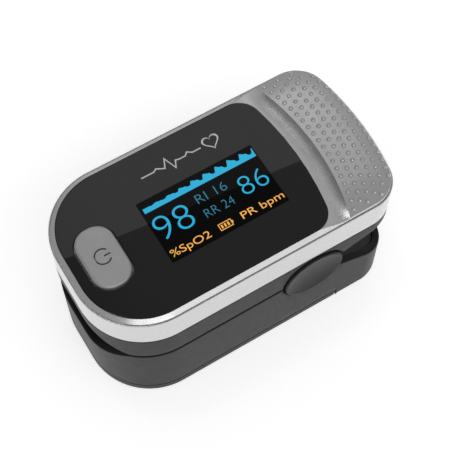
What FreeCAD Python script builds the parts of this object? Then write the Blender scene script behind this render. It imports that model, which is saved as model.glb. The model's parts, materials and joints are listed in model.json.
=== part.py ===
import FreeCAD, Part
import math
import os
import re

import Sketcher
from FreeCAD import Placement, Rotation, Vector

# Fingertip pulse oximeter, a clip of two halves on a sprung hinge.
# Frame: origin at the centre of the base, on the surface it stands on. +X runs from the finger
# opening to the squeeze grip, +Z is up, and the hinge axis is parallel to Y.

SIZES = (
    ("length", 60.0, "overall length, nose to tail"),
    ("width", 32.3, "overall width of both cases"),
    ("nose_corner", 12.6, "plan radius beside the finger opening"),
    ("tail_corner", 6.5, "plan radius beside the grip end"),
    ("tail_bulge", 60.0, "plan radius of the bowed grip end"),
    ("wall", 1.4, "case wall"),
    ("base_round", 0.6, "round along the bottom edge"),
    ("split", 17.3, "height of the parting line and of the hinge"),
    ("split_gap", 0.5, "gap between the two cases"),
    ("band_low", 24.23, "lower edge of the side band"),
    ("band_top", 31.07, "upper edge of the side band"),
    ("band_wall", 1.2, "thickness of the side band"),
    ("plate_top", 31.67, "top of the face plate"),
    ("grip_top", 32.2, "top of the dotted grip"),
    ("seam", 0.1, "seam between parts of one half"),
    ("hinge_x", 10.5, "hinge axis along X"),
    ("squeeze_z", 16.95, "height at the hinge from which both squeeze edges slope"),
    ("lower_slope", 22.5, "fall of the lower case toward the grip end, degrees"),
    ("upper_slope", 19.2, "rise of the upper case toward the grip end, degrees"),
    ("recess", 0.8, "inner covers lie this far inside the case edges"),
    ("mouth_half", 13.0, "half width of the finger opening"),
    ("mouth_rise", 4.5, "depth of the finger opening in each case"),
    ("channel_half", 12.4, "half width of the finger channel"),
    ("channel_rise", 3.6, "depth of the finger channel in each half"),
    ("channel_end", 4.0, "X of the finger stop"),
    ("pad", 1.1, "thickness of the soft finger pads"),
    ("cover", 1.0, "thickness of the inner covers under the pads"),
    ("sheet", 0.8, "thickness of the inner covers past the finger stop"),
    ("land", 0.4, "inner covers stop this far from the parting line"),
    ("window_x", -9.0, "X of the light path"),
    ("window", 5.0, "side of the square light windows"),
    ("cap_radius", 6.15, "hinge cap"),
    ("cap_gap", 0.25, "gap round the hinge cap"),
    ("cap_proud", 0.4, "hinge cap stands proud of the case"),
    ("ear_in", 13.4, "inner face of the lower ears"),
    ("ear_out", 14.95, "outer face of the lower ears"),
    ("ear_radius", 6.2, "lower ears"),
    ("web_half", 5.5, "half width of the webs that carry the lower ears"),
    ("knuckle_in", 11.7, "inner face of the upper knuckles"),
    ("knuckle_out", 13.1, "outer face of the upper knuckles"),
    ("knuckle_radius", 4.6, "upper knuckles"),
    ("pin_radius", 1.5, "hinge pins"),
    ("pin_in", 7.8, "inner end of the hinge pins"),
    ("pin_fit", 0.05, "running clearance of the hinge pins"),
    ("slot_edge", 11.3, "inner covers are cut away beyond this for the ears"),
    ("barrel", 6.2, "inner radius of the lower barrel wall round the hinge"),
    ("barrel_step", 1.1, "upper barrel wall lies this much outside the lower one"),
    ("barrel_wall", 0.8, "thickness of the barrel walls"),
    ("coil_radius", 2.6, "mean coil radius of the torsion springs"),
    ("coil_wire", 0.7, "wire of the torsion springs"),
    ("door_end", 16.75, "X of the battery door's rear edge"),
    ("door_gap", 0.15, "sliding gap round the battery door"),
    ("door_rim", 2.2, "rim height of the battery door"),
    ("door_floor", 1.2, "floor of the door and of the fixed tail"),
    ("rail_in", 11.9, "inner edge of the door rails"),
    ("rail_out", 13.2, "outer edge of the door rails"),
    ("ledge_out", 14.9, "outer edge of the ledges that carry the door rails"),
    ("ledge_thick", 0.9, "thickness of these ledges"),
    ("ledge_x", -20.0, "front end of these ledges"),
    ("cell_radius", 5.25, "AAA cell"),
    ("cell_length", 44.5, "AAA cell over its nub"),
    ("cell_nub", 1.0, "length of the nub"),
    ("cell_x", -25.6, "X of the front end of the cells"),
    ("cell_y", 5.3, "cell axis from the centre line"),
    ("cell_z", 6.5, "height of the cell axes"),
    ("well_half", 11.2, "half width of the battery well in the door"),
    ("bay_end", 22.4, "X of the wall behind the battery contacts"),
    ("plate_inset", 1.2, "silver rim round the face plate"),
    ("plate_tail", 16.32, "apex of the face plate's rear edge"),
    ("plate_corner", 4.4, "rear corners of the face plate"),
    ("plate_bulge", 58.0, "radius of the face plate's rear edge"),
    ("ledge", 1.4, "ledge that carries the face plate"),
    ("spigot", 1.17, "depth of the bezel inside the band"),
    ("spigot_inset", 1.45, "the bezel's spigot lies this far in from the outline"),
    ("crest_x", 19.75, "apex of the crest between scoop and grip"),
    ("crest_radius", 50.0, "plan radius of the crest"),
    ("scoop_width", 4.2, "width of the scoop in front of the crest"),
    ("scoop_radius", 5.5, "section radius of the scoop"),
    ("button_x", -23.0, "centre of the power button"),
    ("button_y", -0.4, "centre of the power button"),
    ("button_long", 12.3, "power button across the object"),
    ("button_wide", 7.2, "power button along the object"),
    ("button_corner", 3.3, "corner radius of the power button"),
    ("button_top", 32.47, "top of the power button"),
    ("button_gap", 0.2, "gap round the power button"),
    ("button_foot", 29.8, "underside of the power button"),
    ("flange", 0.35, "flange that keeps the button in"),
    ("board_low", 26.8, "underside of the main board"),
    ("board", 0.8, "thickness of the main board"),
    ("display_low", 29.2, "underside of the display"),
    ("display", 1.4, "thickness of the display"),
    ("display_x", -1.6, "centre of the display"),
    ("display_y", -0.8, "centre of the display"),
    ("display_long", 28.6, "display glass along X"),
    ("display_wide", 18.4, "display glass along Y"),
    ("upper_screw_x", 23.5, "screws of the upper inner cover"),
    ("upper_screw_y", 7.5, "screws of the upper inner cover"),
    ("lower_screw_y", 13.0, "screws of the lower inner cover"),
    ("screw", 0.85, "thread radius of the screws"),
)
LOWER_SCREWS_X = (-15.0, 1.5)
RAIL_SPANS = ((-11.0, -2.0), (5.0, 16.6))
# Door rails: underside, top of the wide foot and top of the neck, which is set in from the foot.
RAIL_LEVELS = (1.0, 1.45, 2.5)
RAIL_NECK = 0.3

doc = FreeCAD.newDocument("PulseOximeter")
sheet = doc.addObject("Spreadsheet::Sheet", "Sizes")
for row, (alias, number, note) in enumerate(SIZES, 1):
    sheet.set("A%d" % row, note)
    sheet.set("B%d" % row, str(number))
    sheet.setAlias("B%d" % row, alias)
doc.recompute()

ALIASES = {alias for alias, number, note in SIZES}
nodes = []


# ---------------------------------------------------------------- sizes and bindings


def formula(text):
    """Spreadsheet formula of a size written with the sheet's plain names."""
    return re.sub(r"[a-z_]+", lambda m: "Sizes." + m[0] if m[0] in ALIASES else m[0], str(text))


def size(text):
    """Number that a formula gives."""
    return float(sheet.evalExpression(formula(text)))


def bind(item, formulas):
    """Tie an object's properties to formulas."""
    for name, text in formulas.items():
        item.setExpression(name, formula(text))
    return item


def node(item, name):
    """Register an object as the piece of that name."""
    item.Label = name
    nodes.append(item)
    return item


def lower_edge(x):
    """Height formula of the lower case's squeeze edge at X."""
    return "squeeze_z - (%s - hinge_x) * tan(lower_slope)" % x


def upper_edge(x):
    """Height formula of the upper case's squeeze edge at X."""
    return "squeeze_z + (%s - hinge_x) * tan(upper_slope)" % x


# ---------------------------------------------------------------- sketches


def new_sketch(owner, name, plane, offset=0):
    """Sketch on an origin plane of a body, or free in the document, moved along its normal."""
    if owner is doc:
        sketch = doc.addObject("Sketcher::SketchObject", name)
        return bind(sketch, {"Placement.Base.z": offset})
    sketch = owner.newObject("Sketcher::SketchObject", name)
    origin = [item for item in owner.Origin.OriginFeatures if item.Role == plane]
    sketch.AttachmentSupport = [(origin[0], "")]
    sketch.MapMode = "FlatFace"
    return bind(sketch, {"AttachmentOffset.Base.z": offset})


def fix(sketch, kind, places, text):
    """Dimension tied to a formula."""
    index = sketch.addConstraint(Sketcher.Constraint(kind, *places, size(text)))
    sketch.setExpression("Constraints[%d]" % index, formula(text))


def arc_between(start, end, radius):
    """Arc from start to end, to the left for a positive radius, and whether it runs backward."""
    middle = (start + end) * 0.5
    half = (end - start) * 0.5
    side = Vector(-half.y, half.x, 0).normalize()
    reach = math.sqrt(max(radius * radius - half.Length**2, 0.0))
    centre = middle + side * math.copysign(reach, radius)
    first, last = (start, end) if radius > 0 else (end, start)
    angles = [math.atan2(p.y - centre.y, p.x - centre.x) for p in (first, last)]
    circle = Part.Circle(centre, Vector(0, 0, 1), abs(radius))
    return Part.ArcOfCircle(circle, angles[0], angles[1]), radius < 0


def profile(sketch, points):
    """Closed profile of (x, y) corners, or (x, y, radius) where an arc leads to the next corner."""
    base = sketch.GeometryCount
    corners = [Vector(size(p[0]), size(p[1]), 0) for p in points]
    ends = []
    for place, point in enumerate(points):
        start, end = corners[place], corners[(place + 1) % len(points)]
        if len(point) == 2:
            sketch.addGeometry(Part.LineSegment(start, end))
            ends.append((1, 2))
            continue
        arc, backward = arc_between(start, end, size(point[2]))
        index = sketch.addGeometry(arc)
        ends.append((2, 1) if backward else (1, 2))
        fix(sketch, "Radius", (index,), "abs(%s)" % point[2])
    for place, point in enumerate(points):
        following = (place + 1) % len(points)
        link = (base + place, ends[place][1], base + following, ends[following][0])
        sketch.addConstraint(Sketcher.Constraint("Coincident", *link))
        fix(sketch, "DistanceX", (-1, 1, base + place, ends[place][0]), point[0])
        fix(sketch, "DistanceY", (-1, 1, base + place, ends[place][0]), point[1])
    return sketch


def rectangle(sketch, low, high):
    """Rectangle between two corners."""
    return profile(sketch, (low, (high[0], low[1]), high, (low[0], high[1])))


def circle(sketch, x, y, radius):
    """Circle at a point."""
    centre = Vector(size(x), size(y), 0)
    index = sketch.addGeometry(Part.Circle(centre, Vector(0, 0, 1), size(radius)))
    fix(sketch, "Radius", (index,), radius)
    fix(sketch, "DistanceX", (-1, 1, index, 3), x)
    fix(sketch, "DistanceY", (-1, 1, index, 3), y)
    return sketch


def plan(sketch, nose, half, corner, tail, tail_corner, bulge):
    """Plan outline: flat nose, two corners, straight sides, two tail corners and a bowed end."""
    nose_x, half_y, r_nose = -size(nose), size(half), size(corner)
    r_tail, r_end = size(tail_corner), size(bulge)
    end_x = size(tail) - r_end
    tail_y = half_y - r_tail
    tail_x = end_x + math.sqrt((r_end - r_tail) ** 2 - tail_y**2)
    lean = math.atan2(tail_y, tail_x - end_x)
    inner_x, inner_y = nose_x + r_nose, half_y - r_nose
    up = Vector(0, 0, 1)

    def arc(x, y, radius, start, end):
        """Arc round a centre."""
        return Part.ArcOfCircle(Part.Circle(Vector(x, y, 0), up, radius), start, end)

    right = math.pi / 2
    base = sketch.GeometryCount
    sketch.addGeometry(Part.LineSegment(Vector(inner_x, half_y, 0), Vector(tail_x, half_y, 0)))
    sketch.addGeometry(arc(tail_x, tail_y, r_tail, lean, right))
    sketch.addGeometry(arc(end_x, 0, r_end, -lean, lean))
    sketch.addGeometry(arc(tail_x, -tail_y, r_tail, -right, -lean))
    sketch.addGeometry(Part.LineSegment(Vector(tail_x, -half_y, 0), Vector(inner_x, -half_y, 0)))
    sketch.addGeometry(arc(inner_x, -inner_y, r_nose, 2 * right, 3 * right))
    sketch.addGeometry(Part.LineSegment(Vector(nose_x, -inner_y, 0), Vector(nose_x, inner_y, 0)))
    sketch.addGeometry(arc(inner_x, inner_y, r_nose, right, 2 * right))
    joints = ((0, 2, 1, 2), (1, 1, 2, 2), (2, 1, 3, 2), (3, 1, 4, 1))
    joints += ((4, 2, 5, 2), (5, 1, 6, 1), (6, 2, 7, 2), (7, 1, 0, 1))
    for a, a_end, b, b_end in joints:
        sketch.addConstraint(Sketcher.Constraint("Tangent", base + a, a_end, base + b, b_end))
    sketch.addConstraint(Sketcher.Constraint("Horizontal", base))
    sketch.addConstraint(Sketcher.Constraint("Horizontal", base + 4))
    sketch.addConstraint(Sketcher.Constraint("Vertical", base + 6))
    sketch.addConstraint(Sketcher.Constraint("Equal", base + 7, base + 5))
    sketch.addConstraint(Sketcher.Constraint("Equal", base + 1, base + 3))
    sketch.addConstraint(Sketcher.Constraint("PointOnObject", base + 2, 3, -1))
    fix(sketch, "Radius", (base + 7,), corner)
    fix(sketch, "Radius", (base + 1,), tail_corner)
    fix(sketch, "Radius", (base + 2,), bulge)
    fix(sketch, "DistanceX", (-1, 1, base + 2, 3), "%s - (%s)" % (tail, bulge))
    fix(sketch, "DistanceX", (base + 6, 1, -1, 1), nose)
    fix(sketch, "DistanceY", (-1, 1, base, 1), half)
    fix(sketch, "DistanceY", (base + 4, 1, -1, 1), half)
    return sketch


def case_plan(sketch, inset="0"):
    """Plan outline of the cases, drawn inset."""
    return plan(
        sketch,
        "length / 2 - (%s)" % inset,
        "width / 2 - (%s)" % inset,
        "nose_corner - (%s)" % inset,
        "length / 2 - (%s)" % inset,
        "tail_corner - (%s)" % inset,
        "tail_bulge - (%s)" % inset,
    )


def plate_plan(sketch, inset="0"):
    """Plan outline of the face plate, drawn inset."""
    return plan(
        sketch,
        "length / 2 - plate_inset - (%s)" % inset,
        "width / 2 - plate_inset - (%s)" % inset,
        "nose_corner - plate_inset - (%s)" % inset,
        "plate_tail - (%s)" % inset,
        "plate_corner - (%s)" % inset,
        "plate_bulge - (%s)" % inset,
    )


def button_plan(sketch, grow="0"):
    """Plan outline of the power button, drawn larger."""
    x = "button_wide / 2 + (%s)" % grow
    y = "button_long / 2 + (%s)" % grow
    r = "button_corner + (%s)" % grow
    left, right = "button_x - (%s)" % x, "button_x + (%s)" % x
    low, high = "button_y - (%s)" % y, "button_y + (%s)" % y
    return profile(
        sketch,
        (
            ("%s + %s" % (left, r), low),
            ("%s - (%s)" % (right, r), low, r),
            (right, "%s + %s" % (low, r)),
            (right, "%s - (%s)" % (high, r), r),
            ("%s - (%s)" % (right, r), high),
            ("%s + %s" % (left, r), high, r),
            (left, "%s - (%s)" % (high, r)),
            (left, "%s + %s" % (low, r), r),
        ),
    )


# ---------------------------------------------------------------- features of bodies


def new_body(name):
    """Body that becomes the piece of that name."""
    return node(doc.addObject("PartDesign::Body", name), name)


def grow(body, sketch, length, both=False, backward=False):
    """Pad of a sketch, along its normal, against it, or both ways."""
    feature = body.newObject("PartDesign::Pad", sketch.Name + "_pad")
    feature.Profile = sketch
    feature.SideType = "Symmetric" if both else "One side"
    feature.Reversed = backward
    bind(feature, {"Length": length})
    doc.recompute()
    return feature


def carve(body, sketch, depth="length * 3", both=False, backward=False):
    """Pocket of a sketch, against its normal, along it, or both ways."""
    before = body.Shape.Volume
    feature = body.newObject("PartDesign::Pocket", sketch.Name + "_pocket")
    feature.Profile = sketch
    feature.SideType = "Symmetric" if both else "One side"
    feature.Reversed = backward
    bind(feature, {"Length": depth})
    doc.recompute()
    if body.Shape.Volume > before - 0.01:
        raise RuntimeError("%s cut nothing" % sketch.Name)
    return feature


def edges_at(shape, height, keep=lambda edge: True):
    """Names of the edges that lie at one height."""
    names = []
    for place, edge in enumerate(shape.Edges, 1):
        flat = all(abs(vertex.Z - height) < 1e-4 for vertex in edge.Vertexes)
        if flat and keep(edge):
            names.append("Edge%d" % place)
    return names


def ease(body, kind, names, amount):
    """Fillet or chamfer along named edges."""
    base = body.Tip
    feature = body.newObject("PartDesign::" + kind, "%s_%s" % (body.Name, kind))
    feature.Base = (base, names)
    bind(feature, {"Radius" if kind == "Fillet" else "Size": amount})
    doc.recompute()
    return feature


def trim_to_plan(body, inset):
    """Cut a body back to the case outline, drawn inset."""
    sketch = new_sketch(body, body.Name + "_trim", "XY_Plane", "-length")
    reach = "length"
    rectangle(sketch, ("-" + reach, "-" + reach), (reach, reach))
    case_plan(sketch, inset)
    return carve(body, sketch, "length * 3", backward=True)


def side_sketch(body, name, offset=0):
    """Sketch seen from the side, x along X and y along Z. Its normal is -Y."""
    return new_sketch(body, name, "XZ_Plane", offset)


def end_sketch(body, name, offset=0):
    """Sketch seen from the end, x along Y and y along Z. Its normal is +X."""
    return new_sketch(body, name, "YZ_Plane", offset)


def plan_sketch(body, name, offset=0):
    """Sketch seen from above, at a height."""
    return new_sketch(body, name, "XY_Plane", offset)


# ---------------------------------------------------------------- primitives


def box(name, low, high):
    """Box between two corners."""
    item = doc.addObject("Part::Box", name)
    for side, axis, start, end in zip(("Length", "Width", "Height"), "xyz", low, high):
        bind(item, {side: "(%s) - (%s)" % (end, start), "Placement.Base." + axis: start})
    return item


TURNS = {"x": Rotation(Vector(0, 1, 0), 90), "y": Rotation(Vector(1, 0, 0), -90), "z": Rotation()}


def rod(name, radius, axis, start, length):
    """Cylinder from a point along +X, +Y or +Z."""
    item = doc.addObject("Part::Cylinder", name)
    item.Placement = Placement(Vector(), TURNS[axis])
    bind(item, {"Radius": radius, "Height": length})
    for letter, text in zip("xyz", start):
        bind(item, {"Placement.Base." + letter: text})
    return item


def fuse(name, shapes):
    """Union of shapes."""
    item = doc.addObject("Part::MultiFuse", name)
    item.Shapes = list(shapes)
    return item


def cut(name, base, tool):
    """Base less tool."""
    item = doc.addObject("Part::Cut", name)
    item.Base = base
    item.Tool = tool
    return item


def group(name, shapes):
    """Separate solids that share one node."""
    item = doc.addObject("Part::Compound", name)
    item.Links = list(shapes)
    return item


def coil(radius, wire, pitch, turns):
    """Round wire wound about Z from the origin, starting on +X."""
    path = Part.makeHelix(pitch, pitch * turns, radius)
    start = Vector(radius, 0, 0)
    section = Part.Wire(Part.makeCircle(wire / 2, start, Vector(0, 1, 0)))
    return Part.Wire(path).makePipeShell([section], True, True)


# ---------------------------------------------------------------- lower half


def lower_case():
    """Lower shell: walls, tail floor, door rails, hinge ears and screw bosses."""
    body = new_body("lower_case")
    top = "split - split_gap / 2"
    grow(body, case_plan(plan_sketch(body, "lower_outer")), top)
    ease(body, "Fillet", edges_at(body.Shape, 0.0), "base_round")
    inner = case_plan(plan_sketch(body, "lower_inner", top), "wall")
    carve(body, inner, "%s - door_floor" % top)
    opening = side_sketch(body, "door_opening")
    rectangle(opening, ("-length", "-1"), ("door_end + door_gap", "door_rim + door_gap"))
    carve(body, opening, "width * 2", both=True)
    squeeze = side_sketch(body, "lower_squeeze")
    start = "hinge_x - 1"
    corners = ((start, lower_edge(start)), ("length", lower_edge("length")), ("length", "length"))
    carve(body, profile(squeeze, corners + ((start, "length"),)), "width * 2", both=True)
    reach = "(mouth_half ^ 2 + mouth_rise ^ 2) / (2 * mouth_rise)"
    mouth = end_sketch(body, "lower_mouth", "-length / 2 + nose_corner / 2")
    carve(body, circle(mouth, "0", "split - mouth_rise + %s" % reach, reach), "length")
    seat = side_sketch(body, "lower_cap_seats")
    carve(body, circle(seat, "hinge_x", "split", "cap_radius + cap_gap"), "width * 2", both=True)
    for side, sign in (("back", -1), ("front", 1)):
        away = sign < 0
        ear = side_sketch(body, "lower_ear_" + side, "%d * ear_in" % sign)
        circle(ear, "hinge_x", "split", "ear_radius")
        grow(body, ear, "ear_out - ear_in", backward=away)
        web = side_sketch(body, "lower_web_" + side, "%d * ear_in" % sign)
        rectangle(web, ("hinge_x - web_half", "door_rim + 4"), ("hinge_x + web_half", "split - 1.5"))
        grow(body, web, "ear_out - ear_in", backward=away)
        ledge = end_sketch(body, "door_ledge_" + side, "ledge_x")
        step = "door_rim + door_gap"
        near, far = sorted((-sign * size("rail_in"), -sign * size("ledge_out")))
        rectangle(ledge, (near, step), (far, step + " + ledge_thick"))
        grow(body, ledge, "door_end + door_gap - ledge_x")
        for number, (begin, end) in enumerate(RAIL_SPANS):
            rail = end_sketch(body, "door_rail_%s_%d" % (side, number), begin)
            foot = [size("rail_in"), size("rail_out")]
            rib = [foot[0] + RAIL_NECK, foot[1] - RAIL_NECK]
            low, sole, top = RAIL_LEVELS
            points = [(foot[0], low), (foot[1], low), (foot[1], sole), (rib[1], sole)]
            points += [(rib[1], top), (rib[0], top), (rib[0], sole), (foot[0], sole)]
            profile(rail, [(-sign * y, z) for y, z in points])
            grow(body, rail, end - begin)
        for number, x in enumerate(LOWER_SCREWS_X):
            y = "%d * lower_screw_y" % -sign
            boss = plan_sketch(body, "lower_boss_%s_%d" % (side, number), step)
            grow(body, circle(boss, x, y, "2.1"), "3.6")
            bore = plan_sketch(body, "lower_bore_%s_%d" % (side, number), step)
            carve(body, circle(bore, x, y, "screw + 0.1"), "length", backward=True)
            head = plan_sketch(body, "lower_head_%s_%d" % (side, number), step)
            carve(body, circle(head, x, y, "1.6"), "1.4", backward=True)
    wall = plan_sketch(body, "battery_wall", "door_floor / 2")
    rectangle(wall, ("bay_end", "-width / 2 + 1"), ("bay_end + 1", "width / 2 - 1"))
    grow(body, wall, "9")
    bore = side_sketch(body, "lower_pin_bores")
    carve(body, circle(bore, "hinge_x", "split", "pin_radius"), "width * 2", both=True)


def battery_door():
    """Sliding door: the whole underside of the battery bay, with grooves for the case's rails."""
    body = new_body("battery_door")
    grow(body, case_plan(plan_sketch(body, "door_outer")), "door_rim")
    ease(body, "Fillet", edges_at(body.Shape, 0.0), "base_round")
    tail = side_sketch(body, "door_tail")
    rectangle(tail, ("door_end", "-1"), ("length", "length"))
    carve(body, tail, "width * 2", both=True)
    well = plan_sketch(body, "door_well", "door_floor")
    rectangle(well, ("cell_x - 0.6", "-well_half"), ("length", "well_half"))
    carve(body, well, "length", backward=True)
    for side, sign in (("back", 1), ("front", -1)):
        groove = end_sketch(body, "door_groove_" + side, "-13")
        gap = size("door_gap")
        near, far = size("rail_in") - gap, size("rail_out") + gap
        neck = [near + RAIL_NECK, far - RAIL_NECK]
        low, sole, top = RAIL_LEVELS[0] - gap, RAIL_LEVELS[1] + gap, 2 * RAIL_LEVELS[2]
        points = [(near, low), (far, low), (far, sole), (neck[1], sole)]
        points += [(neck[1], top), (neck[0], top), (neck[0], sole), (near, sole)]
        profile(groove, [(sign * y, z) for y, z in points])
        carve(body, groove, "length", backward=True)
    tongue = plan_sketch(body, "door_tongue", "door_floor + 0.1")
    rectangle(tongue, ("door_end", "-1.8"), ("door_end + 1.8", "1.8"))
    grow(body, tongue, "0.6")
    root = plan_sketch(body, "door_tongue_root", "0.5")
    rectangle(root, ("door_end - 3", "-1.8"), ("door_end", "1.8"))
    grow(body, root, "door_floor + 0.2")
    for number in range(5):
        x = "door_end - 8.5 + %g" % (number * 1.2)
        rib = plan_sketch(body, "thumb_groove_%d" % number)
        rectangle(rib, (x, "-4.5"), (x + " + 0.6", "4.5"))
        carve(body, rib, "0.35", backward=True)


def channel_radius(rise="channel_rise"):
    """Radius formula of the finger channel's section."""
    return "(channel_half ^ 2 + %s ^ 2) / (2 * %s)" % (rise, rise)


def trough(body, name, sign, near, far, edge):
    """Band of the finger channel's section between two depths, from the mouth to the stop."""
    centre = "split - %d * (channel_rise - %s)" % (sign, channel_radius())
    outer, inner = "%s + %s" % (channel_radius(), far), "%s + %s" % (channel_radius(), near)
    flat = "split - %d * land" % sign
    fall = "abs(%s - (%s))" % (centre, flat)
    reach = "sqrt((%s) ^ 2 - (%s) ^ 2)" % (inner, fall)
    wide = edge if edge else "sqrt((%s) ^ 2 - (%s) ^ 2)" % (outer, fall)
    drop = "%s - %d * sqrt((%s) ^ 2 - (%s) ^ 2)" % (centre, sign, outer, wide)
    sketch = end_sketch(body, name, "channel_end")
    turn = "%d * (%s)" % (sign, inner)
    back = "%d * (%s)" % (-sign, outer)
    points = [("-(%s)" % reach, flat, turn), (reach, flat)]
    if edge:
        points += [(wide, flat), (wide, drop, back), ("-(%s)" % wide, drop)]
        points += [("-(%s)" % wide, flat)]
    else:
        points += [(wide, flat, back), ("-(%s)" % wide, flat)]
    return grow(body, profile(sketch, points), "channel_end + length / 2 - 1.55", backward=True)


def window_hole(body, grow_by="0"):
    """Square hole for the light path."""
    half = "window / 2 + %s" % grow_by
    sketch = plan_sketch(body, body.Name + "_window")
    low = ("window_x - (%s)" % half, "-(%s)" % half)
    high = ("window_x + (%s)" % half, half)
    carve(body, rectangle(sketch, low, high), "length * 2", both=True)


def barrel(body, name, inner, start, end):
    """Barrel wall round the hinge axis, between two angles."""
    outer = "%s + barrel_wall" % inner
    sketch = side_sketch(body, name)

    def at(radius, angle):
        """Point of the barrel."""
        turn = (radius, angle)
        return ("hinge_x + (%s) * cos(%g)" % turn, "split + (%s) * sin(%g)" % turn)

    points = (at(inner, start), at(outer, start) + (outer,), at(outer, end))
    points += (at(inner, end) + ("-(%s)" % inner,),)
    grow(body, profile(sketch, points), "slot_edge * 2", both=True)


def ear_slots(body):
    """Room in an inner cover for the ears and knuckles of the hinge."""
    for side, sign in (("back", 1), ("front", -1)):
        slot = plan_sketch(body, "%s_slot_%s" % (body.Name, side))
        low, high = sorted((sign * size("slot_edge"), sign * size("width")))
        rectangle(slot, ("channel_end", low), ("hinge_x + 6.6", high))
        carve(body, slot, "length * 2", both=True)


def lower_inner_cover():
    """Black liner of the lower half: channel, finger stop, hinge floor and slope to the tail."""
    body = new_body("lower_inner_cover")
    side = side_sketch(body, "lower_sheet")
    floor = "split - 4.3"
    bend = "hinge_x + (squeeze_z - recess - (%s)) / tan(lower_slope)" % floor
    tail = "length / 2 - 1"
    profile(
        side,
        (
            ("channel_end", "split - land"),
            ("channel_end", floor + " - sheet"),
            (bend, floor + " - sheet"),
            (tail, lower_edge(tail) + " - recess - sheet"),
            (tail, lower_edge(tail) + " - recess"),
            (bend, floor),
            ("channel_end + 1", floor),
            ("channel_end + 1", "split - land"),
        ),
    )
    grow(body, side, "width", both=True)
    trough(body, "lower_trough", 1, "pad", "pad + cover", "width / 2 - 1.5")
    barrel(body, "lower_barrel", "barrel", -46, 4)
    seat = side_sketch(body, "lower_spring_seats")
    rectangle(seat, ("hinge_x + 2.9", floor + " - sheet / 2"), ("hinge_x + 4", "split - 2.97"))
    grow(body, seat, "slot_edge * 2", both=True)
    trim_to_plan(body, "1.55")
    ear_slots(body)
    for side_name, sign in (("back", 1), ("front", -1)):
        for number, x in enumerate(LOWER_SCREWS_X):
            y = "%d * lower_screw_y" % sign
            post = plan_sketch(body, "post_%s_%d" % (side_name, number), "door_rim + 3.9")
            grow(body, circle(post, x, y, "1.6"), "9.5")
            bore = plan_sketch(body, "post_bore_%s_%d" % (side_name, number), "door_rim + 3.9")
            carve(body, circle(bore, x, y, "screw"), "6", backward=True)
    window_hole(body)
    slot = plan_sketch(body, "flex_slot_low")
    rectangle(slot, ("hinge_x - 3.3", "-2"), ("hinge_x - 1.7", "2"))
    carve(body, slot, "split", backward=True)


def lower_finger_pad():
    """Soft pad under the finger."""
    body = new_body("lower_finger_pad")
    trough(body, "lower_pad", 1, "0", "pad", None)
    trim_to_plan(body, "1.55")
    window_hole(body)


def light_parts():
    """Windows, emitter and detector of the light path, and their small boards."""
    half = "window / 2"
    low, high = "window_x - %s" % half, "window_x + %s" % half
    bottom = "split - channel_rise"
    top = "split + channel_rise"
    lens = box("sensor_lens", (low, "-" + half, bottom + " - 0.95"), (high, half, bottom))
    node(lens, "sensor_window")
    lens = box("emitter_lens", (low, "-" + half, top), (high, half, top + " + 0.95"))
    node(lens, "emitter_window")
    chip = ("window_x - 1.7", "-1.6", bottom + " - 1.95")
    node(box("detector", chip, ("window_x + 1.7", "1.6", bottom + " - 1")), "photodiode")
    board = ("window_x - 5", "-1.8", bottom + " - 2.6")
    end = ("window_x + 6", "1.8", bottom + " - 2.15")
    node(box("detector_board", board, end), "sensor_board")
    dice = []
    for place in (-1.1, 1.1):
        x = "window_x + %g" % place
        start = (x + " - 0.8", "-1.2", top + " + 1.05")
        dice.append(box("led", start, (x + " + 0.8", "1.2", top + " + 2.15")))
    node(group("leds", dice), "emitter_leds")
    board = ("window_x - 5", "-3.5", top + " + 2.2")
    node(box("led_board", board, ("window_x + 5", "3.5", top + " + 2.8")), "emitter_board")


def battery_cells():
    """Two AAA cells, side by side and head to tail."""
    for name, sign in (("left", 1), ("right", -1)):
        y = "%d * cell_y" % sign
        first = "cell_x" if sign > 0 else "cell_x + cell_nub"
        can = rod("can_" + name, "cell_radius", "x", (first, y, "cell_z"), "cell_length - cell_nub")
        tip = "cell_x + cell_length - cell_nub" if sign > 0 else "cell_x"
        nub = rod("nub_" + name, "1.9", "x", (tip, y, "cell_z"), "cell_nub")
        node(fuse("cell_" + name, (can, nub)), "battery_cell_" + name)


def battery_contacts():
    """Bridge contact at the nose, two contacts at the tail, and the two cell springs."""
    nose = "cell_x - 2.35"
    tail = "cell_x + cell_length + 3.05"
    plate = box("bridge", (nose, "-7.2", "3"), (nose + " + 0.3", "7.2", "10"))
    pip = rod("bridge_pip", "1.4", "x", (nose + " + 0.3", "-cell_y", "cell_z"), "2.05")
    node(fuse("bridge_all", (plate, pip)), "contact_bridge")
    plate = box("plus", (tail, "2.4", "2.4"), (tail + " + 0.35", "8.4", "9.4"))
    start = ("cell_x + cell_length", "cell_y", "cell_z")
    pip = rod("plus_pip", "1.4", "x", start, "3.05")
    node(fuse("plus_all", (plate, pip)), "contact_positive")
    minus = box("minus", (tail, "-8.4", "2.4"), (tail + " + 0.35", "-2.4", "9.4"))
    node(minus, "contact_negative")
    turn = Rotation(Vector(0, 1, 0), 90)
    ends = (("left", nose + " + 0.3", 2.05, 2.5, 1), ("right", "cell_x + cell_length", 3.05, 3.5, -1))
    for name, start, space, turns, sign in ends:
        wire = 0.4
        spring = doc.addObject("Part::Feature", "cell_spring_" + name)
        pitch = (space - wire - 0.04) / turns
        spring.Shape = coil(1.9, wire, pitch, turns)
        seat = Vector(size(start) + wire / 2 + 0.02, sign * size("cell_y"), size("cell_z"))
        spring.Placement = Placement(seat, turn)
        node(spring, "battery_spring_" + name)


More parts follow.
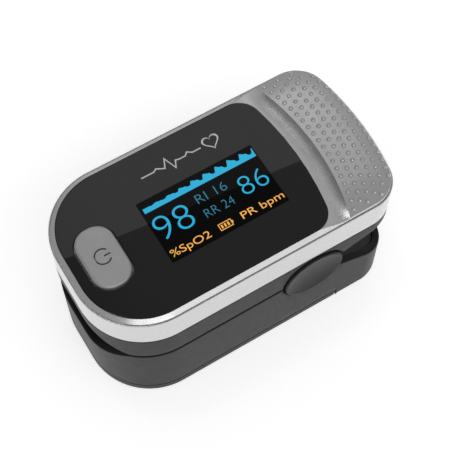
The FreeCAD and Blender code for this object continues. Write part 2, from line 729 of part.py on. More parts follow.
def hinge_parts():
    """Pins, dished caps and torsion springs, one of each on both sides."""
    for name, sign in (("back", 1), ("front", -1)):
        start = "pin_in" if sign > 0 else "-ear_out"
        pin = rod("pin_" + name, "pin_radius", "y", ("hinge_x", start, "split"), "ear_out - pin_in")
        node(pin, "hinge_pin_" + name)
        face = "width / 2 + cap_proud"
        start = "ear_out" if sign > 0 else "-(%s)" % face
        place = ("hinge_x", start, "split")
        disc = rod("disc_" + name, "cap_radius", "y", place, "%s - ear_out" % face)
        ball = doc.addObject("Part::Sphere", "dish_" + name)
        bind(ball, {"Radius": "30", "Placement.Base.x": "hinge_x", "Placement.Base.z": "split"})
        bind(ball, {"Placement.Base.y": "%d * (%s + 30 - 0.5)" % (sign, face)})
        node(cut("cap_" + name, disc, ball), "hinge_cap_" + name)
        torsion_spring(name, sign)


def torsion_spring(name, sign):
    """Torsion spring round a pin, with a leg under the upper cover and one on the lower cover."""
    radius, wire, turns = size("coil_radius"), size("coil_wire"), 3.5
    pitch = wire + 0.1
    winding = coil(radius, wire, pitch, turns)
    reach = 4.0
    low = Vector(radius, 0, 0)
    high = Vector(-radius, 0, pitch * turns)
    pieces = [winding]
    for start in (low, high):
        pieces.append(Part.makeSphere(wire / 2, start))
        pieces.append(Part.makeCylinder(wire / 2, reach, start, Vector(0, -1, 0)))
    shape = pieces[0].fuse(pieces[1:])
    spring = doc.addObject("Part::Feature", "torsion_" + name)
    spring.Shape = shape.removeSplitter()
    # The winding axis goes along -Y and the legs, which leave along local -Y, along +X.
    turn = Rotation(Vector(0, 0, -1), Vector(-1, 0, 0), Vector(0, -1, 0), "ZXY")
    offset = size("pin_in") + 0.5 + (pitch * turns if sign > 0 else 0)
    spring.Placement = Placement(Vector(size("hinge_x"), sign * offset, size("split")), turn)
    node(spring, "torsion_spring_" + name)


def screws():
    """Self-tapping screws of the two inner covers."""
    lower = []
    for x in LOWER_SCREWS_X:
        for sign in (1, -1):
            y = "%d * lower_screw_y" % sign
            head = rod("head", "1.5", "z", (x, y, "door_rim + 0.35"), "1.2")
            shank = rod("shank", "screw", "z", (x, y, "door_rim + 1.55"), "7")
            lower.append(fuse("lower_screw", (head, shank)))
    node(group("lower_set", lower), "lower_screws")
    upper = []
    for sign in (1, -1):
        y = "%d * upper_screw_y" % sign
        head = rod("head", "1.7", "z", ("upper_screw_x", y, "split + 5.2"), "1.1")
        shank = rod("shank", "screw", "z", ("upper_screw_x", y, "split + 6.3"), "5")
        upper.append(fuse("upper_screw", (head, shank)))
    node(group("upper_set", upper), "upper_screws")


def flex_cable():
    """Ribbon from the detector board up past the hinge to the main board."""
    body = new_body("flex_cable")
    side = side_sketch(body, "ribbon")
    low = "split - channel_rise - 2.55"
    x = "hinge_x - 2.5"
    start = "window_x + 6.05"
    points = ((start, low), (x + " - 1", low, "1"), (x, low + " + 1"), (x, "board_low - 0.05"))
    points += ((x + " - 0.15", "board_low - 0.05"), (x + " - 0.15", low + " + 1", "-0.85"))
    points += ((x + " - 1", low + " + 0.15"), (start, low + " + 0.15"))
    grow(body, profile(side, points), "3", both=True)


# ---------------------------------------------------------------- upper half


def upper_case():
    """Dark skirt of the upper half, its collar inside the band, and the hinge knuckles."""
    body = new_body("upper_case")
    base = "split + split_gap / 2"
    skirt = case_plan(plan_sketch(body, "upper_outer", base))
    grow(body, skirt, "band_low - seam - (%s)" % base)
    inner = case_plan(plan_sketch(body, "upper_inner"), "wall")
    carve(body, inner, "length", backward=True)
    collar = plan_sketch(body, "upper_collar", "band_low - 1.2")
    case_plan(collar, "band_wall + 0.1")
    case_plan(collar, "1.9")
    grow(body, collar, "3.4")
    squeeze = side_sketch(body, "upper_squeeze")
    start = "hinge_x + 0.5"
    corners = ((start, upper_edge(start)), (start, "0"), ("length", "0"))
    profile(squeeze, corners + (("length", upper_edge("length")),))
    carve(body, squeeze, "width * 2", both=True)
    reach = "(mouth_half ^ 2 + mouth_rise ^ 2) / (2 * mouth_rise)"
    mouth = end_sketch(body, "upper_mouth", "-length / 2 + nose_corner / 2")
    carve(body, circle(mouth, "0", "split + mouth_rise - %s" % reach, reach), "length")
    seat = side_sketch(body, "upper_cap_seats")
    carve(body, circle(seat, "hinge_x", "split", "cap_radius + cap_gap"), "width * 2", both=True)
    for side, sign in (("back", -1), ("front", 1)):
        away = sign < 0
        knuckle = side_sketch(body, "knuckle_" + side, "%d * knuckle_in" % sign)
        circle(knuckle, "hinge_x", "split", "knuckle_radius")
        grow(body, knuckle, "knuckle_out - knuckle_in", backward=away)
        web = side_sketch(body, "knuckle_web_" + side, "%d * knuckle_in" % sign)
        rectangle(web, ("hinge_x - 4", "split"), ("hinge_x + 4", "band_low + 2.2"))
        grow(body, web, "knuckle_out - knuckle_in", backward=away)
        bridge = side_sketch(body, "knuckle_bridge_" + side, "%d * (knuckle_out - 0.3)" % sign)
        rectangle(bridge, ("hinge_x - 4", "split + 6.8"), ("hinge_x + 4", "band_low + 2.2"))
        grow(body, bridge, "1.7", backward=away)
    bore = side_sketch(body, "upper_pin_bores")
    circle(bore, "hinge_x", "split", "pin_radius + pin_fit")
    carve(body, bore, "width * 2", both=True)


def side_band():
    """Silver band round the upper half."""
    body = new_body("side_band")
    grow(body, case_plan(plan_sketch(body, "band_outer", "band_low")), "band_top - band_low - 0.03")
    inner = case_plan(plan_sketch(body, "band_inner"), "band_wall")
    carve(body, inner, "length", backward=True)


def top_bezel():
    """Silver top: rim round the face plate, scoop, crest and grip, with a spigot in the band."""
    body = new_body("top_bezel")
    outer = case_plan(plan_sketch(body, "bezel_outer", "band_top"))
    grow(body, outer, "grip_top - band_top")
    shape = side_sketch(body, "bezel_scoop")
    bind(shape, {"AttachmentOffset.Base.x": "crest_x - crest_radius"})
    front = "crest_radius - scoop_width"
    corners = ((0, "plate_top"), (front, "plate_top"), (front, "plate_top - 0.25", "scoop_radius"))
    corners += (("crest_radius", "grip_top"), ("crest_radius", "length"), (0, "length"))
    profile(shape, corners)
    before = body.Shape.Volume
    groove = body.newObject("PartDesign::Groove", "scoop_groove")
    groove.Profile = shape
    groove.ReferenceAxis = (shape, ["V_Axis"])
    groove.Angle = 360
    doc.recompute()
    if body.Shape.Volume > before - 1:
        raise RuntimeError("the scoop cut nothing")
    crest = size("crest_radius")
    centre = Vector(size("crest_x") - crest, 0, size("grip_top"))
    names = edges_at(
        body.Shape,
        size("grip_top"),
        lambda edge: abs(edge.CenterOfMass.distanceToPoint(centre) - crest) > 1,
    )
    ease(body, "Chamfer", names, "0.7")
    spigot = case_plan(plan_sketch(body, "bezel_spigot", "band_top - spigot"), "spigot_inset")
    grow(body, spigot, "spigot + 0.2")
    recess = plate_plan(plan_sketch(body, "plate_recess", "band_top"), "-0.05")
    carve(body, recess, "length", backward=True)
    opening = plate_plan(plan_sketch(body, "plate_opening"), "ledge")
    carve(body, opening, "length", backward=True)
    for side, sign in (("back", 1), ("front", -1)):
        y = "%d * upper_screw_y" % sign
        boss = plan_sketch(body, "bezel_boss_" + side, "split + 7.7")
        grow(body, circle(boss, "upper_screw_x", y, "2.2"), "band_top - split - 7.7")
        bore = plan_sketch(body, "bezel_bore_" + side, "split + 7.7")
        carve(body, circle(bore, "upper_screw_x", y, "screw"), "4.5", backward=True)


def faceplate():
    """Glossy black face plate with the opening for the button."""
    body = new_body("faceplate")
    grow(body, plate_plan(plan_sketch(body, "plate", "band_top")), "plate_top - band_top")
    hole = button_plan(plan_sketch(body, "button_hole"), "button_gap")
    carve(body, hole, "length", backward=True)


def power_button():
    """Push button with the flange that keeps it under the face plate."""
    body = new_body("power_button")
    cap = button_plan(plan_sketch(body, "button_cap", "button_foot"))
    grow(body, cap, "button_top - button_foot")
    ease(body, "Chamfer", edges_at(body.Shape, size("button_top")), "0.35")
    rim = button_plan(plan_sketch(body, "button_flange", "button_foot"), "flange")
    grow(body, rim, "0.9")


def switch_parts():
    """Tactile switch on the main board, and the plunger that moves with the button."""
    board = "board_low + board"
    low = ("button_x - 2.6", "button_y - 2.6", board)
    can = box("switch_can", low, ("button_x + 2.6", "button_y + 2.6", "display_low"))
    well = rod("switch_well", "1.05", "z", ("button_x", "button_y", board + " + 0.2"), "3")
    node(cut("switch_body", can, well), "tact_switch")
    start = ("button_x", "button_y", board + " + 0.8")
    stem = rod("switch_stem", "0.95", "z", start, "button_foot - (%s) - 0.8" % board)
    node(stem, "switch_plunger")


def display_parts():
    """Display module, the holder that lifts it off the main board, and its gasket."""

    def rect(name, less, bottom, top):
        """Box of the display's plan, drawn smaller."""
        x, y = "(display_long / 2 - %g)" % less, "(display_wide / 2 - %g)" % less
        low = ("display_x - " + x, "display_y - " + y, bottom)
        return box(name, low, ("display_x + " + x, "display_y + " + y, top))

    above = "display_low + display"
    node(rect("display_glass", 0, "display_low", above), "oled_display")
    board = "board_low + board"
    ring = rect("holder_out", 0.3, board, "display_low")
    node(cut("holder", ring, rect("holder_in", 1.6, "0", "length")), "display_holder")
    ring = rect("gasket_out", 0, above, "band_top")
    node(cut("gasket", ring, rect("gasket_in", 1.5, "0", "length")), "display_gasket")


def main_board():
    """Main circuit board across the upper half, and the chips under it."""
    body = new_body("main_board")
    grow(body, case_plan(plan_sketch(body, "board", "board_low"), "2.6"), "board")
    tail = side_sketch(body, "board_tail")
    rectangle(tail, ("20.5", "0"), ("length", "length"))
    carve(body, tail, "width * 2", both=True)
    chips = []
    for x, y, across, tall in ((-16, 4, 7, 1.1), (-16, -6, 5, 0.9), (0, 6, 4, 1.2), (2, -7, 3, 0.8)):
        low = (x - across / 2, y - across / 2, "board_low - %g" % tall)
        chips.append(box("chip", low, (x + across / 2, y + across / 2, "board_low")))
    node(group("chips", chips), "main_chips")


def upper_inner_cover():
    """Black liner of the upper half: channel, finger stop, hinge roof and slope to the tail."""
    body = new_body("upper_inner_cover")
    side = side_sketch(body, "upper_sheet")
    roof = "split + 4.1"
    bend = "hinge_x + (%s - squeeze_z - recess) / tan(upper_slope)" % roof
    tail = "length / 2 - 1"
    profile(
        side,
        (
            ("channel_end", "split + land"),
            ("channel_end + 1", "split + land"),
            ("channel_end + 1", roof),
            (bend, roof),
            (tail, upper_edge(tail) + " + recess"),
            (tail, upper_edge(tail) + " + recess + sheet"),
            (bend, roof + " + sheet"),
            ("channel_end", roof + " + sheet"),
        ),
    )
    grow(body, side, "width", both=True)
    trough(body, "upper_trough", -1, "pad", "pad + cover", "width / 2 - 1.5")
    barrel(body, "upper_barrel", "barrel + barrel_step", 0, 34)
    seat = side_sketch(body, "upper_spring_seats")
    rectangle(seat, ("hinge_x + 2.9", "split + 2.97"), ("hinge_x + 4", roof + " + sheet / 2"))
    grow(body, seat, "slot_edge * 2", both=True)
    trim_to_plan(body, "2")
    ear_slots(body)
    window_hole(body)
    slot = plan_sketch(body, "flex_slot_high", "split + 2")
    rectangle(slot, ("hinge_x - 3.3", "-2"), ("hinge_x - 1.7", "2"))
    carve(body, slot, "length", backward=True)
    for side_name, sign in (("back", 1), ("front", -1)):
        y = "%d * upper_screw_y" % sign
        boss = plan_sketch(body, "cover_boss_" + side_name, "split + 5.9")
        grow(body, circle(boss, "upper_screw_x", y, "2.3"), "1.7")
        bore = plan_sketch(body, "cover_bore_" + side_name, "split")
        carve(body, circle(bore, "upper_screw_x", y, "screw + 0.1"), "length", backward=True)
        head = plan_sketch(body, "cover_head_" + side_name, "split")
        carve(body, circle(head, "upper_screw_x", y, "1.9"), "6.3", backward=True)


def upper_finger_pad():
    """Soft pad over the finger."""
    body = new_body("upper_finger_pad")
    trough(body, "upper_pad", -1, "0", "pad", None)
    trim_to_plan(body, "2")
    window_hole(body)


# ---------------------------------------------------------------- build, check and write


def build():
    """Make every piece."""
    lower_case()
    battery_door()
    lower_inner_cover()
    lower_finger_pad()
    light_parts()
    battery_cells()
    battery_contacts()
    hinge_parts()
    screws()
    flex_cable()
    upper_case()
    side_band()
    top_bezel()
    faceplate()
    power_button()
    switch_parts()
    display_parts()
    main_board()
    upper_inner_cover()
    upper_finger_pad()
    doc.recompute()


def check():
    """Stop if anything failed or any piece isn't a sound solid."""
    for item in doc.Objects:
        if {"Invalid", "Error"} & set(item.State):
            raise RuntimeError("%s failed: %s" % (item.Name, item.State))
    for item in nodes:
        shape = item.Shape
        if shape.isNull() or not shape.isValid() or not shape.Solids:
            raise RuntimeError("%s has no sound solid" % item.Label)


def write():
    """Write one STEP file for each piece."""
    os.makedirs("parts", exist_ok=True)
    for item in nodes:
        item.Shape.exportStep("parts/%s.step" % item.Label)
        print("%-22s %d solid(s) %9.1f mm3" % (item.Label, len(item.Shape.Solids), item.Shape.Volume))


build()
check()
write()
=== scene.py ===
"""Looks of a fingertip pulse oximeter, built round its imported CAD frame.

Every mesh is laid out in millimetres in the frame of the CAD model and scaled to metres when it
becomes an object: +X runs from the finger opening to the squeeze grip, and +Z is up.
"""

import json
import logging
import math
from abc import ABC, abstractmethod
from dataclasses import dataclass
from enum import Enum
from functools import cache
from typing import Callable, Iterable, Sequence

import bmesh
import bpy
from mathutils import Matrix, Vector
from mathutils.geometry import tessellate_polygon

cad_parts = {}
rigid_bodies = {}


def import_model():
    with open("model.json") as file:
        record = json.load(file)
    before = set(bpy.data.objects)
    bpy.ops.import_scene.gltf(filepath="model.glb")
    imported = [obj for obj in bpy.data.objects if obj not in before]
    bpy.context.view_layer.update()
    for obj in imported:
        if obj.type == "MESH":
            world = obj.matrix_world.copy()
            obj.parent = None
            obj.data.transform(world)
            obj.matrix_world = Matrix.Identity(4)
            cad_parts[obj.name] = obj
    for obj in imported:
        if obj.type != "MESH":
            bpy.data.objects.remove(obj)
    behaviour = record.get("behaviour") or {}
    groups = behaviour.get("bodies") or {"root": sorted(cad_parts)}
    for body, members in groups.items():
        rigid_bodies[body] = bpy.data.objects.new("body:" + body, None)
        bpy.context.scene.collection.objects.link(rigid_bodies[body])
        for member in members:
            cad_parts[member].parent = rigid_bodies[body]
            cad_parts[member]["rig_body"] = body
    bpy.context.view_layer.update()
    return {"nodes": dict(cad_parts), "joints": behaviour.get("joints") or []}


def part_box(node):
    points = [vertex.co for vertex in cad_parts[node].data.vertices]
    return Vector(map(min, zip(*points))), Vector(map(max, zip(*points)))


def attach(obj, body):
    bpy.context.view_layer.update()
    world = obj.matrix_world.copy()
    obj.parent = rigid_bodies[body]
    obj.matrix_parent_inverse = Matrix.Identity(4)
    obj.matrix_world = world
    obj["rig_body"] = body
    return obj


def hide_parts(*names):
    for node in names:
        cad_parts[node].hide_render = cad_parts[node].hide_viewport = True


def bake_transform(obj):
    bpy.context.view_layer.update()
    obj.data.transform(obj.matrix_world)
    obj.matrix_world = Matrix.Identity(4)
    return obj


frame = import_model()

MM = 0.001
LOG = logging.getLogger("oximeter")

Flat = tuple[float, float]
Spot = tuple[float, float, float]
Colour = tuple[float, float, float]
Socket = bpy.types.NodeSocket
Piece = bpy.types.Object
Vert = bmesh.types.BMVert
# Share of a quarter turn at each section of a round edge, from the flat to the upright.
QUARTER = [math.radians(angle) for angle in (90, 67.5, 45, 22.5, 0)]


class Body(Enum):
    """CAD bodies that pieces ride on."""

    LOWER = "lower_half"
    UPPER = "upper_half"
    BUTTON = "button"
    DOOR = "door"


class Side(Enum):
    """The two sides of the clip, with the sign of Y on each."""

    FRONT = -1
    BACK = 1


@cache
def node_box(name: str) -> tuple[Vector, Vector]:
    """Corners of a CAD node in millimetres.

    Args:
        name: the node's name.

    Returns:
        Its lowest and its highest corner.
    """
    low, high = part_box(name)
    return low / MM, high / MM


def smooth(share: float) -> float:
    """Ease from 0 to 1 with level ends."""
    held = min(max(share, 0.0), 1.0)
    return held * held * (3.0 - 2.0 * held)


def stand(name: str, data: bpy.types.ID) -> Piece:
    """Object for some data, linked to the scene.

    Args:
        name: name of the object.
        data: its mesh, curve, light or camera.

    Returns:
        The object.
    """
    obj = bpy.data.objects.new(name, data)
    bpy.context.scene.collection.objects.link(obj)
    return obj


def preset(node: bpy.types.Node, **values: float | Spot) -> None:
    """Set constant inputs of a node; a space in an input's name is written as an underscore."""
    for name, value in values.items():
        node.inputs[name.replace("_", " ")].default_value = value


def spread(low: float, high: float, steps: int) -> list[float]:
    """Evenly spaced numbers, both ends included."""
    return [low + (high - low) * place / steps for place in range(steps + 1)]


# Outlines


@dataclass(frozen=True)
class Leg:
    """Straight or curved stretch of an outline that runs anticlockwise.

    A curved leg turns about centre through the two angles; a straight one goes start to end.
    """

    start: Flat = (0.0, 0.0)
    end: Flat = (0.0, 0.0)
    centre: Flat = (0.0, 0.0)
    radius: float = 0.0
    turn: Flat = (0.0, 0.0)

    @property
    def length(self) -> float:
        """Length of the stretch."""
        if self.radius:
            return abs(self.turn[1] - self.turn[0]) * self.radius
        return math.dist(self.start, self.end)

    def at(self, share: float, inset: float) -> Flat:
        """Point of the stretch, moved inwards.

        Args:
            share: how far along the leg, from 0 to 1.
            inset: how far inside the outline.

        Returns:
            The point.
        """
        if self.radius:
            angle = self.turn[0] + (self.turn[1] - self.turn[0]) * share
            reach = self.radius - inset
            x, y = self.centre
            return x + reach * math.cos(angle), y + reach * math.sin(angle)
        length = self.length or 1.0
        along = ((self.end[0] - self.start[0]) / length, (self.end[1] - self.start[1]) / length)
        x = self.start[0] + along[0] * length * share - along[1] * inset
        y = self.start[1] + along[1] * length * share + along[0] * inset
        return x, y


@dataclass(frozen=True)
class Outline:
    """Closed outline of tangent legs, anticlockwise."""

    legs: tuple[Leg, ...]

    @property
    def length(self) -> float:
        """Length once round."""
        return sum(leg.length for leg in self.legs)

    def at(self, along: float, inset: float = 0.0) -> Flat:
        """Point at a distance along the outline.

        Args:
            along: distance from the first leg's start; it may pass the end.
            inset: how far inside the outline.

        Returns:
            The point.
        """
        rest = along % self.length
        for leg in self.legs:
            if rest <= leg.length:
                return leg.at(rest / max(leg.length, 1e-9), inset)
            rest -= leg.length
        return self.legs[-1].at(1.0, inset)

    def stops(self, step: float, bend: float = math.radians(6)) -> list[float]:
        """Distances along the outline that follow its shape.

        Args:
            step: longest straight step.
            bend: largest turn in one step.

        Returns:
            Distances, without the closing one.
        """
        found: list[float] = []
        begin = 0.0
        for leg in self.legs:
            count = max(1, math.ceil(leg.length / step))
            if leg.radius:
                count = max(2, math.ceil(abs(leg.turn[1] - leg.turn[0]) / bend))
            found += [begin + leg.length * place / count for place in range(count)]
            begin += leg.length
        return found

    def ring(self, stops: Iterable[float], inset: float, height: float) -> list[Spot]:
        """Ring of points at one inset and one height."""
        return [(*self.at(stop, inset), height) for stop in stops]

    @staticmethod
    def bowed(
        nose: float, half: float, corner: float, tail: float, tail_corner: float, bulge: float
    ) -> "Outline":
        """Outline with a flat nose, two round corners, straight sides and a bowed tail.

        Args:
            nose: X of the nose, as a positive number.
            half: half width.
            corner: radius of the nose corners.
            tail: X of the tail's apex.
            tail_corner: radius of the tail corners.
            bulge: radius of the tail.

        Returns:
            The outline, which starts in the middle of the nose and runs to -Y first.
        """
        bow = tail - bulge
        rise = half - tail_corner
        tail_x = bow + math.sqrt((bulge - tail_corner) ** 2 - rise**2)
        lean = math.atan2(rise, tail_x - bow)
        x, y = corner - nose, half - corner
        quarter = math.pi / 2
        return Outline(
            (
                Leg((-nose, 0.0), (-nose, -y)),
                Leg(centre=(x, -y), radius=corner, turn=(math.pi, 3 * quarter)),
                Leg((x, -half), (tail_x, -half)),
                Leg(centre=(tail_x, -rise), radius=tail_corner, turn=(-quarter, -lean)),
                Leg(centre=(bow, 0.0), radius=bulge, turn=(-lean, lean)),
                Leg(centre=(tail_x, rise), radius=tail_corner, turn=(lean, quarter)),
                Leg((tail_x, half), (x, half)),
                Leg(centre=(x, y), radius=corner, turn=(quarter, math.pi)),
                Leg((-nose, y), (-nose, 0.0)),
            )
        )

    @staticmethod
    def block(low: Flat, high: Flat, corner: float) -> "Outline":
        """Rectangle with round corners, between two corners of the plan.

        Args:
            low: one corner.
            high: the opposite corner.
            corner: radius of the corners.

        Returns:
            The outline.
        """
        (x0, y0), (x1, y1), r, q = low, high, corner, math.pi / 2
        return Outline(
            (
                Leg((x0 + r, y0), (x1 - r, y0)),
                Leg(centre=(x1 - r, y0 + r), radius=r, turn=(-q, 0.0)),
                Leg((x1, y0 + r), (x1, y1 - r)),
                Leg(centre=(x1 - r, y1 - r), radius=r, turn=(0.0, q)),
                Leg((x1 - r, y1), (x0 + r, y1)),
                Leg(centre=(x0 + r, y1 - r), radius=r, turn=(q, 2 * q)),
                Leg((x0, y1 - r), (x0, y0 + r)),
                Leg(centre=(x0 + r, y0 + r), radius=r, turn=(2 * q, 3 * q)),
            )
        )


@dataclass(frozen=True)
class Plan:
    """Sizes that the whole clip shares, in millimetres."""

    nose_corner: float = 12.6
    tail_corner: float = 6.5
    tail_bulge: float = 60.0
    wall: float = 1.4
    base_round: float = 0.6
    gap: float = 0.5
    squeeze: float = 16.95
    lower_slope: float = math.radians(22.5)
    upper_slope: float = math.radians(19.2)
    mouth_half: float = 13.0
    mouth_rise: float = 4.5
    seat: float = 6.4

    @property
    def half(self) -> float:
        """Half width of the cases."""
        return node_box("side_band")[1].y

    @property
    def nose(self) -> float:
        """X of the nose, as a positive number."""
        return -node_box("side_band")[0].x

    @property
    def tail(self) -> float:
        """X of the tail."""
        return node_box("side_band")[1].x

    @property
    def hinge(self) -> Flat:
        """X and Z of the hinge axis."""
        joints = {joint["name"]: joint for joint in frame["joints"]}
        x, _, z = joints["clip_hinge"]["pos_m"]
        return x / MM, z / MM

    def outline(self, off: float = 0.0) -> Outline:
        """Plan outline of the cases, or one that lies inside it.

        Args:
            off: how far inside.

        Returns:
            The outline.
        """
        sizes = (self.nose, self.half, self.nose_corner, self.tail, self.tail_corner, self.tail_bulge)
        return Outline.bowed(*(size - off for size in sizes))

    def edge(self, x: float, y: float, sign: int) -> float:
        """Height of the edge that a case turns to the other case.

        Args:
            x: place along the clip.
            y: place across the clip.
            sign: -1 for the lower case and 1 for the upper case.

        Returns:
            The height.
        """
        axis_x, axis_z = self.hinge
        away = self.gap / 2
        slope = self.lower_slope if sign < 0 else self.upper_slope
        if x > axis_x:
            line = self.squeeze + sign * (x - axis_x) * math.tan(slope)
            away = max(away, sign * (line - axis_z))
        if abs(x - axis_x) < self.seat and abs(y) > self.half - 2 * self.wall:
            away = max(away, math.sqrt(self.seat**2 - (x - axis_x) ** 2))
        if x < 0.0 and abs(y) < self.mouth_half:
            reach = (self.mouth_half**2 + self.mouth_rise**2) / (2 * self.mouth_rise)
            away = max(away, self.mouth_rise - reach + math.sqrt(reach**2 - y**2))
        return axis_z + sign * away


# Materials


class Desk:
    """Node tree of one material, with short calls for the nodes that the finishes use."""

    def __init__(self, name: str) -> None:
        """Start a material with an empty tree and a Principled shader.

        Args:
            name: name of the material.
        """
        self.material = bpy.data.materials.new(name)
        self.material.use_nodes = True
        self.tree = self.material.node_tree
        self.tree.nodes.clear()
        self.out = self.add("ShaderNodeOutputMaterial")
        self.shader = self.add("ShaderNodeBsdfPrincipled")
        self.link(self.shader.outputs["BSDF"], self.out.inputs["Surface"])
        place = self.add("ShaderNodeTexCoord")
        scale = self.add("ShaderNodeMapping")
        preset(scale, Scale=(1 / MM, 1 / MM, 1 / MM))
        self.link(place.outputs["Object"], scale.inputs["Vector"])
        self.place = scale.outputs["Vector"]

    def add(self, kind: str) -> bpy.types.Node:
        """Add a node."""
        return self.tree.nodes.new(kind)

    def link(self, start: Socket, end: Socket) -> None:
        """Join two sockets."""
        self.tree.links.new(start, end)

    def set(self, **values: float | Colour) -> None:
        """Set constant shader sockets; a space in a socket's name is written as an underscore."""
        for name, value in values.items():
            socket = self.shader.inputs[name.replace("_", " ")]
            socket.default_value = (*value, 1.0) if isinstance(value, tuple) else value

    def noise(self, grain: float, detail: float = 2.0, stretch: Spot = (1, 1, 1)) -> Socket:
        """Noise whose features are about grain millimetres wide.

        Args:
            grain: width of a feature.
            detail: octaves of detail.
            stretch: scale along each axis.

        Returns:
            The noise's factor.
        """
        turned = self.add("ShaderNodeMapping")
        preset(turned, Scale=stretch)
        self.link(self.place, turned.inputs["Vector"])
        node = self.add("ShaderNodeTexNoise")
        preset(node, Scale=1.0 / grain, Detail=detail)
        self.link(turned.outputs["Vector"], node.inputs["Vector"])
        return node.outputs["Fac"]

    def cells(self, grain: float) -> bpy.types.Node:
        """Voronoi cells about grain millimetres wide."""
        node = self.add("ShaderNodeTexVoronoi")
        preset(node, Scale=1.0 / grain)
        self.link(self.place, node.inputs["Vector"])
        return node

    def wave(self, pitch: float, direction: str) -> Socket:
        """Bands at a pitch in millimetres along an axis.

        Args:
            pitch: distance between bands.
            direction: the axis.

        Returns:
            The bands' factor.
        """
        node = self.add("ShaderNodeTexWave")
        node.wave_profile = "SIN"
        node.bands_direction = direction
        preset(node, Scale=math.pi / (10.0 * pitch), Distortion=0.0)
        self.link(self.place, node.inputs["Vector"])
        return node.outputs["Fac"]

    def spanned(self, value: Socket, low: float, high: float) -> Socket:
        """Stretch a factor to a range.

        Args:
            value: the factor.
            low: value that a low factor gives.
            high: value that a high factor gives.

        Returns:
            The stretched value.
        """
        node = self.add("ShaderNodeMapRange")
        preset(node, From_Min=0.3, From_Max=0.7, To_Min=low, To_Max=high)
        self.link(value, node.inputs["Value"])
        return node.outputs["Result"]

    def ramp(self, value: Socket, *stops: tuple[float, Colour]) -> Socket:
        """Colour ramp over a factor.

        Args:
            value: the factor.
            stops: places and colours.

        Returns:
            The colour.
        """
        node = self.add("ShaderNodeValToRGB")
        points = node.color_ramp.elements
        while len(points) < len(stops):
            points.new(0.5)
        for point, (place, colour) in zip(points, stops):
            point.position = place
            point.color = (*colour, 1.0)
        self.link(value, node.inputs["Fac"])
        return node.outputs["Color"]

    def bump(self, height: Socket, depth: float, below: Socket | None = None) -> Socket:
        """Bump of a depth in millimetres, over another normal where one is given.

        Args:
            height: factor that gives the height.
            depth: depth of the bump.
            below: normal under it.

        Returns:
            The normal.
        """
        node = self.add("ShaderNodeBump")
        preset(node, Strength=1.0, Distance=depth * MM)
        self.link(height, node.inputs["Height"])
        if below is not None:
            self.link(below, node.inputs["Normal"])
        return node.outputs["Normal"]

    def feed(self, name: str, value: Socket) -> None:
        """Join a value to a shader socket."""
        self.link(value, self.shader.inputs[name])


def shade(colour: Colour, factor: float) -> Colour:
    """Colour made lighter or darker."""
    return tuple(min(1.0, channel * factor) for channel in colour)


@dataclass(frozen=True)
class Finish(ABC):
    """Surface finish that belongs to one slot of the record."""

    slot: str

    def build(self) -> bpy.types.Material:
        """Make the material."""
        desk = Desk(self.slot)
        self.mix(desk)
        return desk.material

    @abstractmethod
    def mix(self, desk: Desk) -> None:
        """Wire the surface up on a desk."""


@dataclass(frozen=True)
class Moulded(Finish):
    """Injection-moulded plastic or rubber with a fine spark-eroded grain."""

    colour: Colour = (0.06, 0.062, 0.066)
    rough: float = 0.42
    grain: float = 0.22
    depth: float = 0.006
    specular: float = 0.5
    sheen: float = 0.0

    def mix(self, desk: Desk) -> None:
        """Wire the surface up on a desk."""
        tone = desk.noise(5.0, 3.0)
        light, dark = shade(self.colour, 1.04), shade(self.colour, 0.96)
        desk.feed("Base Color", desk.ramp(tone, (0.35, dark), (0.65, light)))
        fine = desk.noise(self.grain, 3.0)
        worn = desk.spanned(desk.noise(1.6, 4.0), self.rough - 0.02, self.rough + 0.03)
        desk.feed("Roughness", worn)
        swell = desk.bump(desk.noise(9.0, 1.0), self.depth * 2.0)
        desk.feed("Normal", desk.bump(fine, self.depth, swell))
        desk.set(Specular_IOR_Level=self.specular, Sheen_Weight=self.sheen)


@dataclass(frozen=True)
class Silvered(Finish):
    """Satin silver paint: metal flake under a thin clear coat."""

    colour: Colour = (0.63, 0.63, 0.63)
    rough: float = 0.25
    metal: float = 0.8
    coat: float = 0.25

    def mix(self, desk: Desk) -> None:
        """Wire the surface up on a desk."""
        flake = desk.cells(0.09)
        split = desk.add("ShaderNodeSeparateColor")
        desk.link(flake.outputs["Color"], split.inputs["Color"])
        light, dark = shade(self.colour, 1.06), shade(self.colour, 0.93)
        desk.feed("Base Color", desk.ramp(split.outputs["Red"], (0.0, dark), (1.0, light)))
        cloud = desk.spanned(desk.noise(3.0, 4.0), self.rough - 0.03, self.rough + 0.04)
        desk.feed("Roughness", cloud)
        peel = desk.bump(desk.noise(1.4, 0.0), 0.0006)
        desk.feed("Normal", desk.bump(desk.noise(0.12, 2.0), 0.0004, peel))
        desk.set(Metallic=self.metal, Coat_Weight=self.coat, Coat_Roughness=0.12)


@dataclass(frozen=True)
class Gloss(Finish):
    """Polished hard face with faint hairlines and handling haze."""

    colour: Colour = (0.004, 0.004, 0.0045)
    rough: float = 0.008
    ior: float = 1.5

    def mix(self, desk: Desk) -> None:
        """Wire the surface up on a desk."""
        haze = desk.noise(7.0, 5.0)
        light = shade(self.colour, 1.25)
        desk.feed("Base Color", desk.ramp(haze, (0.4, self.colour), (0.7, light)))
        lines = desk.noise(0.5, 3.0, (0.12, 1.0, 1.0))
        desk.feed("Roughness", desk.spanned(lines, self.rough, self.rough + 0.012))
        desk.feed("Normal", desk.bump(desk.noise(6.0, 0.0), 0.0008))
        desk.set(IOR=self.ior)


